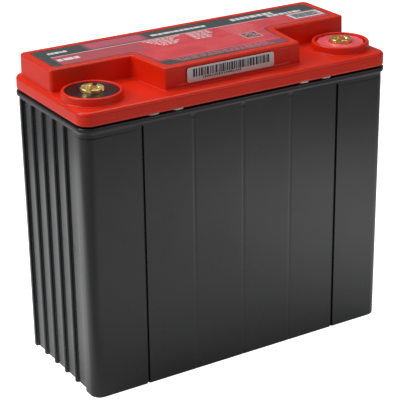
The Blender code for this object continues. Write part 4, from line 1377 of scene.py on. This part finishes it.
draw = np.random.default_rng(11)
cells = draw.random((14, 14)) < 0.5
cells[:1], cells[-1:], cells[:, :1], cells[:, -1:] = True, True, True, True
side = 2 * (CODE_HALF - CODE_MARGIN) / len(cells)
rows, columns = np.nonzero(cells)
cell_x = CODE_X - CODE_HALF + CODE_MARGIN + columns * side
cell_y = CODE_Y - CODE_HALF + CODE_MARGIN + rows * side
inked = CODE_INKED * side
code_boxes = np.stack([cell_x, cell_x + inked, cell_y, cell_y + inked], 1)
box_rows = [bar_row(66.0, 82.0, 9.2 + row * 1.7, 10.1 + row * 1.7, 90 + row, 3.0, 0.5)
            for row in range(4)]
dark_skin = printed_bars(np.concatenate([code_boxes] + box_rows), ink_level)
piece("label_dark_print", skin_mesh("label_dark_print", dark_skin), "root",
      dark_ink)

# %% Bar code label
BARCODE_CORNER = 1.3
code_corners = box_corners(BARCODE_LOW[[0, 2]], BARCODE_HIGH[[0, 2]])
code_outline = rounded_outline(code_corners, BARCODE_CORNER, 7)
barcode_paper = print_finish("barcode_paper", colour(226, 226, 224), colour(206, 208, 206),
                             0.5)
code_film = film(code_outline, 0.0, BARCODE_HIGH[1] - BARCODE_LOW[1],
                 axis_y=BARCODE_HIGH[1])
piece("barcode_film", skin_mesh("barcode_film", code_film), "root",
      barcode_paper, ["barcode_label"])

draw = np.random.default_rng(7)
units = draw.choice([0.55, 0.55, 0.9, 1.25], size=(90,))
units[1::2] = draw.choice([0.4, 0.4, 0.7], size=(45,))
ends = BARCODE_LOW[0] + 3.2 + np.cumsum(units)
starts = ends - units
keep = (np.arange(len(units)) % 2 == 0) & (ends < BARCODE_HIGH[0] - 2.6)
count = keep.sum()
code_bars = np.stack([starts[keep], ends[keep], np.full(count, BARCODE_LOW[2] + 2.6),
                      np.full(count, BARCODE_HIGH[2] - 0.8)], 1)
marks = np.arange(22) * 1.05 + BARCODE_LOW[0] + 9.0
mark_boxes = np.stack([marks, marks + 0.6 + 0.15 * np.sin(marks * 5),
                       BARCODE_LOW[2] + 1.25 + 0.1 * np.cos(marks * 7),
                       BARCODE_LOW[2] + 2.3 + 0.1 * np.sin(marks * 3)], 1)
bars_skin = printed_bars(np.concatenate([code_bars, mark_boxes]),
                         BARCODE_HIGH[1] - BARCODE_LOW[1], axis_y=BARCODE_HIGH[1])
piece("barcode_bars", skin_mesh("barcode_bars", bars_skin), "root",
      dark_ink)

# %% [markdown]
# ## Terminals
# A brass insert is turned, bored and threaded, and then two slots are milled across
# its crown, which leaves four pads. It is one grid, round the axis and along the
# profile. The slots lower each point above their floor by a share that depends on the
# distance across the slot, and the thread moves the bore's wall in and out along a
# helix. The resin round it was poured, so it climbs a little at both of its walls.

# %% Brass inserts
HEAD_RADIUS = INSERT_HIGH[0] - TERMINAL[0]
CROWN = INSERT_HIGH[2]
SLOT_HALF = 1.3
SLOT_FLOOR = CROWN - 1.4
BORE = 3.0
THREAD_PITCH = 1.0
THREAD_DEPTH = 0.3
THREAD_FOOT = CROWN - 10.5
SHANK_RADIUS = 4.8
HEAD_FOOT = DISC_LOW[2]
SHANK_FOOT = INSERT_LOW[2]
STEPS = 160


def slotted(radius, height, angles):
    """Heights after the slots: points above a slot's floor sink to it by a share."""
    share = np.zeros(len(angles))
    for slot_angle in (np.pi / 4, 3 * np.pi / 4):
        across = np.abs(radius * np.sin(angles - slot_angle))
        share = np.maximum(share, 1 - smooth_step(across, SLOT_HALF - 0.12,
                                                  SLOT_HALF + 0.12))
    above = np.maximum(height - SLOT_FLOOR, 0)
    return height - above * share


def insert_skin(place):
    """The insert's outside, crown and bore as rings about its axis."""
    angles = np.arange(STEPS) / STEPS * TAU
    bevel = quarter(0.35, 4)
    profile = [(SHANK_RADIUS - 0.4, SHANK_FOOT), (SHANK_RADIUS, SHANK_FOOT + 0.4)]
    for level in np.arange(SHANK_FOOT + 1.5, HEAD_FOOT - 1.0, 1.4):
        profile += [(SHANK_RADIUS, level), (SHANK_RADIUS - 0.35, level + 0.35),
                    (SHANK_RADIUS - 0.35, level + 0.7), (SHANK_RADIUS, level + 1.05)]
    profile += [(SHANK_RADIUS, HEAD_FOOT), (HEAD_RADIUS - 0.2, HEAD_FOOT),
                (HEAD_RADIUS, HEAD_FOOT + 0.2), (HEAD_RADIUS, SLOT_FLOOR - 0.1)]
    profile += [(HEAD_RADIUS - run, CROWN - 0.35 + rise) for run, rise in bevel]
    profile += [(radius, CROWN) for radius in np.linspace(HEAD_RADIUS - 0.5, BORE + 0.6, 14)]
    made = [ring(circle(place, radius, STEPS), slotted(radius, height, angles))
            for radius, height in profile]
    made.append(ring(circle(place, BORE, STEPS), slotted(BORE, CROWN - 0.5, angles)))
    levels = np.arange(SLOT_FLOOR - 0.3, THREAD_FOOT + 0.4, -0.125)
    for level in levels:
        phase = (level / THREAD_PITCH - angles / TAU) % 1.0
        ridge = 1 - np.abs(2 * phase - 1)
        fade = smooth_step(SLOT_FLOOR - level, 0.3, 0.9)
        radius = BORE - THREAD_DEPTH * ridge * fade
        spokes = np.stack([np.cos(angles), np.sin(angles)], 1)
        made.append(ring(np.asarray(place) + spokes * radius[:, None], level))
    made.append(ring(circle(place, BORE - THREAD_DEPTH, STEPS), THREAD_FOOT))
    skin = Skin()
    skin.wall(made)
    skin.flat(SHANK_FOOT, made[0])
    skin.flat(THREAD_FOOT, made[-1])
    return skin


brass, tree, shader = new_finish("turned_brass", Metallic=1.0, Roughness=0.28)
place, x, y, _ = place_nodes(tree)
tarnish = use(tree, GRAIN, Place=place, Grain_size=0.5)
worn_and_edge_sheen = use(tree, EDGE_SHEEN_AND_WEAR, Place=place, Break_size=1.2)
side_x = sums(tree, "SUBTRACT", sums(tree, "ABSOLUTE", x), float(TERMINAL[0]))
side_y = sums(tree, "SUBTRACT", y, float(TERMINAL[1]))
radius = sums(tree, "SQRT", sums(tree, "ADD", sums(tree, "MULTIPLY", side_x, side_x),
                                 sums(tree, "MULTIPLY", side_y, side_y)))
turning = node(tree, "TexNoise", {"W": sums(tree, "MULTIPLY", radius, 9.0), "Scale": 1.0,
                                  "Detail": 2.0}, noise_dimensions="1D").outputs["Fac"]
shade = mixed(tree, tarnish["Mottle"], colour(222, 186, 84), colour(244, 216, 128))
# Painted highlight: every rounded edge of the brass is mixed towards a pale yellow, by the bend
# alone.
shade = mixed(tree, worn_and_edge_sheen["Edge"], shade, colour(250, 236, 178))
tree.links.new(shade, shader.inputs["Base Color"])
tree.links.new(sums(tree, "MULTIPLY_ADD", tarnish["Mottle"], 0.16, 0.22),
               shader.inputs["Roughness"])
bump(tree, shader, turning, 0.012)
for side, name in ((-1, "negative"), (1, "positive")):
    skin = insert_skin((side * TERMINAL[0], TERMINAL[1]))
    label = name + "_brass_insert"
    piece(label, skin_mesh(label, skin), "root", brass, [name + "_insert"])

# %% Resin discs
DISC_HOLE = HEAD_RADIUS + 0.3
DISC_RADIUS = 13.3
PINK_RADIUS = 12.5
WAVES = 13
MENISCUS = 0.45
DISC_ROUND = 0.35
DISC_TOP = DISC_HIGH[2] - 0.02


def disc_skin(place, radius, wave):
    """A poured disc: flat in the middle, rising to both walls, with a rounded rim.

    The rim's radius changes with the angle by wave times a sum of two sines. The
    surface rises by the meniscus times the square of how near a wall is.
    """
    angles = np.arange(STEPS) / STEPS * TAU
    wobble = wave * (0.7 * np.sin(WAVES * angles) + 0.3 * np.sin(5 * angles + 1.0))
    spokes = np.stack([np.cos(angles), np.sin(angles)], 1)

    def at(share, height, ripple=1.0):
        distance = DISC_HOLE + (radius - DISC_HOLE) * share + wobble * share ** 2 * ripple
        return ring(np.asarray(place) + spokes * np.reshape(distance, (-1, 1)), height)

    shares = np.linspace(0, 1, 19)
    dip = MENISCUS * (1 - np.clip(np.abs(2 * shares - 1), 0, 1) ** 3)
    width = radius - DISC_HOLE
    made = [at(0, DISC_LOW[2]), at(0, DISC_TOP)]
    made += [at(share, DISC_TOP - low) for share, low in zip(shares[1:-1], dip[1:-1])]
    made += [at(1 - (DISC_ROUND - rise) / width, DISC_TOP - run)
             for run, rise in quarter(DISC_ROUND, 4)]
    made += [at(1, DISC_LOW[2]), at(0, DISC_LOW[2])]
    skin = Skin()
    skin.wall(made)
    return skin


def resin_finish(name, main, other, roughness):
    """Poured resin: streaks of two shades, a thin gloss coat and a soft surface."""
    made, tree, shader = new_finish(name, Roughness=roughness)
    place, _, _, _ = place_nodes(tree)
    grain = use(tree, GRAIN, Place=place, Grain_size=0.8)
    flow = node(tree, "TexNoise", {"Vector": place, "Scale": 0.22, "Detail": 3.0,
                                   "Distortion": 2.2}).outputs["Fac"]
    tree.links.new(mixed(tree, ramp(tree, flow, 0.38, 0.66), main, other),
                   shader.inputs["Base Color"])
    tree.links.new(sums(tree, "MULTIPLY_ADD", grain["Mottle"], 0.14, roughness),
                   shader.inputs["Roughness"])
    shader.inputs["Coat Weight"].default_value = 0.3
    height = sums(tree, "MULTIPLY_ADD", flow, 3.0, grain["Height"])
    bump(tree, shader, height, 0.05)
    return made


black_resin = resin_finish("black_resin_pour", colour(8, 9, 10), colour(22, 24, 26), 0.2)
pink_resin = resin_finish("pink_resin_pour", colour(236, 78, 92), colour(246, 112, 116), 0.32)
for side, name, finish, radius, wave in ((-1, "negative", black_resin, DISC_RADIUS, 0.0),
                                         (1, "positive", pink_resin, PINK_RADIUS, 0.32)):
    label = name + "_resin_pour"
    skin = disc_skin((side * TERMINAL[0], TERMINAL[1]), radius, wave)
    piece(label, skin_mesh(label, skin), "root", finish, [name + "_resin_disc"])

# %% [markdown]
# ## What the jar holds
# The plates, mats, straps, posts and caps have plain shapes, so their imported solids
# stay and only get finishes. Lead is dull and blotched. A positive plate is brown
# paste on a cast grid, a negative one is grey and spongy, and the mat between them is
# felted glass. Object coordinates give every one of them its pattern.

# %% Finishes of the inner pieces


def fibre_or_paste(name, main, other, size, depth, roughness, metallic=0.0, grid=0.0):
    """A rough inner surface: two shades by a mottle, a grain, and a faint cast grid."""
    made, tree, shader = new_finish(name, Roughness=roughness, Metallic=metallic)
    place, _, across, height = place_nodes(tree)
    grain = use(tree, GRAIN, Place=place, Grain_size=size)
    shade = mixed(tree, grain["Mottle"], main, other)
    relief = grain["Height"]
    if grid > 0:
        waves = [sums(tree, "SINE", sums(tree, "MULTIPLY", value, TAU / spacing))
                 for value, spacing in ((across, 5.5), (height, 7.0))]
        lines = ramp(tree, sums(tree, "MAXIMUM", *waves), 0.93, 1.0)
        shade = mixed(tree, sums(tree, "MULTIPLY", lines, grid), shade,
                      colour(122, 124, 128))
        relief = sums(tree, "MULTIPLY_ADD", lines, 2.0, relief)
    tree.links.new(shade, shader.inputs["Base Color"])
    tree.links.new(sums(tree, "MULTIPLY_ADD", grain["Mottle"], 0.15, roughness - 0.1),
                   shader.inputs["Roughness"])
    bump(tree, shader, relief, depth)
    return made


lead = fibre_or_paste("cast_lead", colour(126, 128, 134), colour(160, 162, 168), 0.9,
                      0.05, 0.5, metallic=0.8)
positive_paste = fibre_or_paste("positive_paste_grid", colour(86, 52, 38),
                                colour(112, 72, 52), 0.3, 0.08, 0.85, grid=0.6)
negative_paste = fibre_or_paste("negative_paste_grid", colour(112, 116, 122),
                                colour(138, 142, 148), 0.3, 0.08, 0.8, grid=0.5)
glass_mat = fibre_or_paste("felted_glass", colour(226, 226, 218), colour(242, 242, 238),
                           0.25, 0.12, 0.95)
rubber = fibre_or_paste("valve_rubber", colour(26, 26, 27), colour(42, 42, 43), 0.4, 0.02,
                        0.7)
INNER_FINISHES = {"negative_group": negative_paste, "positive_group": positive_paste,
                  "separator": glass_mat, "intercell_weld": lead, "valve_cap": rubber,
                  "negative_lead_post": lead, "positive_lead_post": lead,
                  "negative_post_ring": rubber, "positive_post_ring": rubber,
                  "vent_cover": red_plastic}
for start, finish in INNER_FINISHES.items():
    found = [item for name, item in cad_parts.items() if name.startswith(start)]
    for item in found:
        for place in item.material_slots:
            place.material = finish
    print(start, "->", finish.name, "on", len(found))
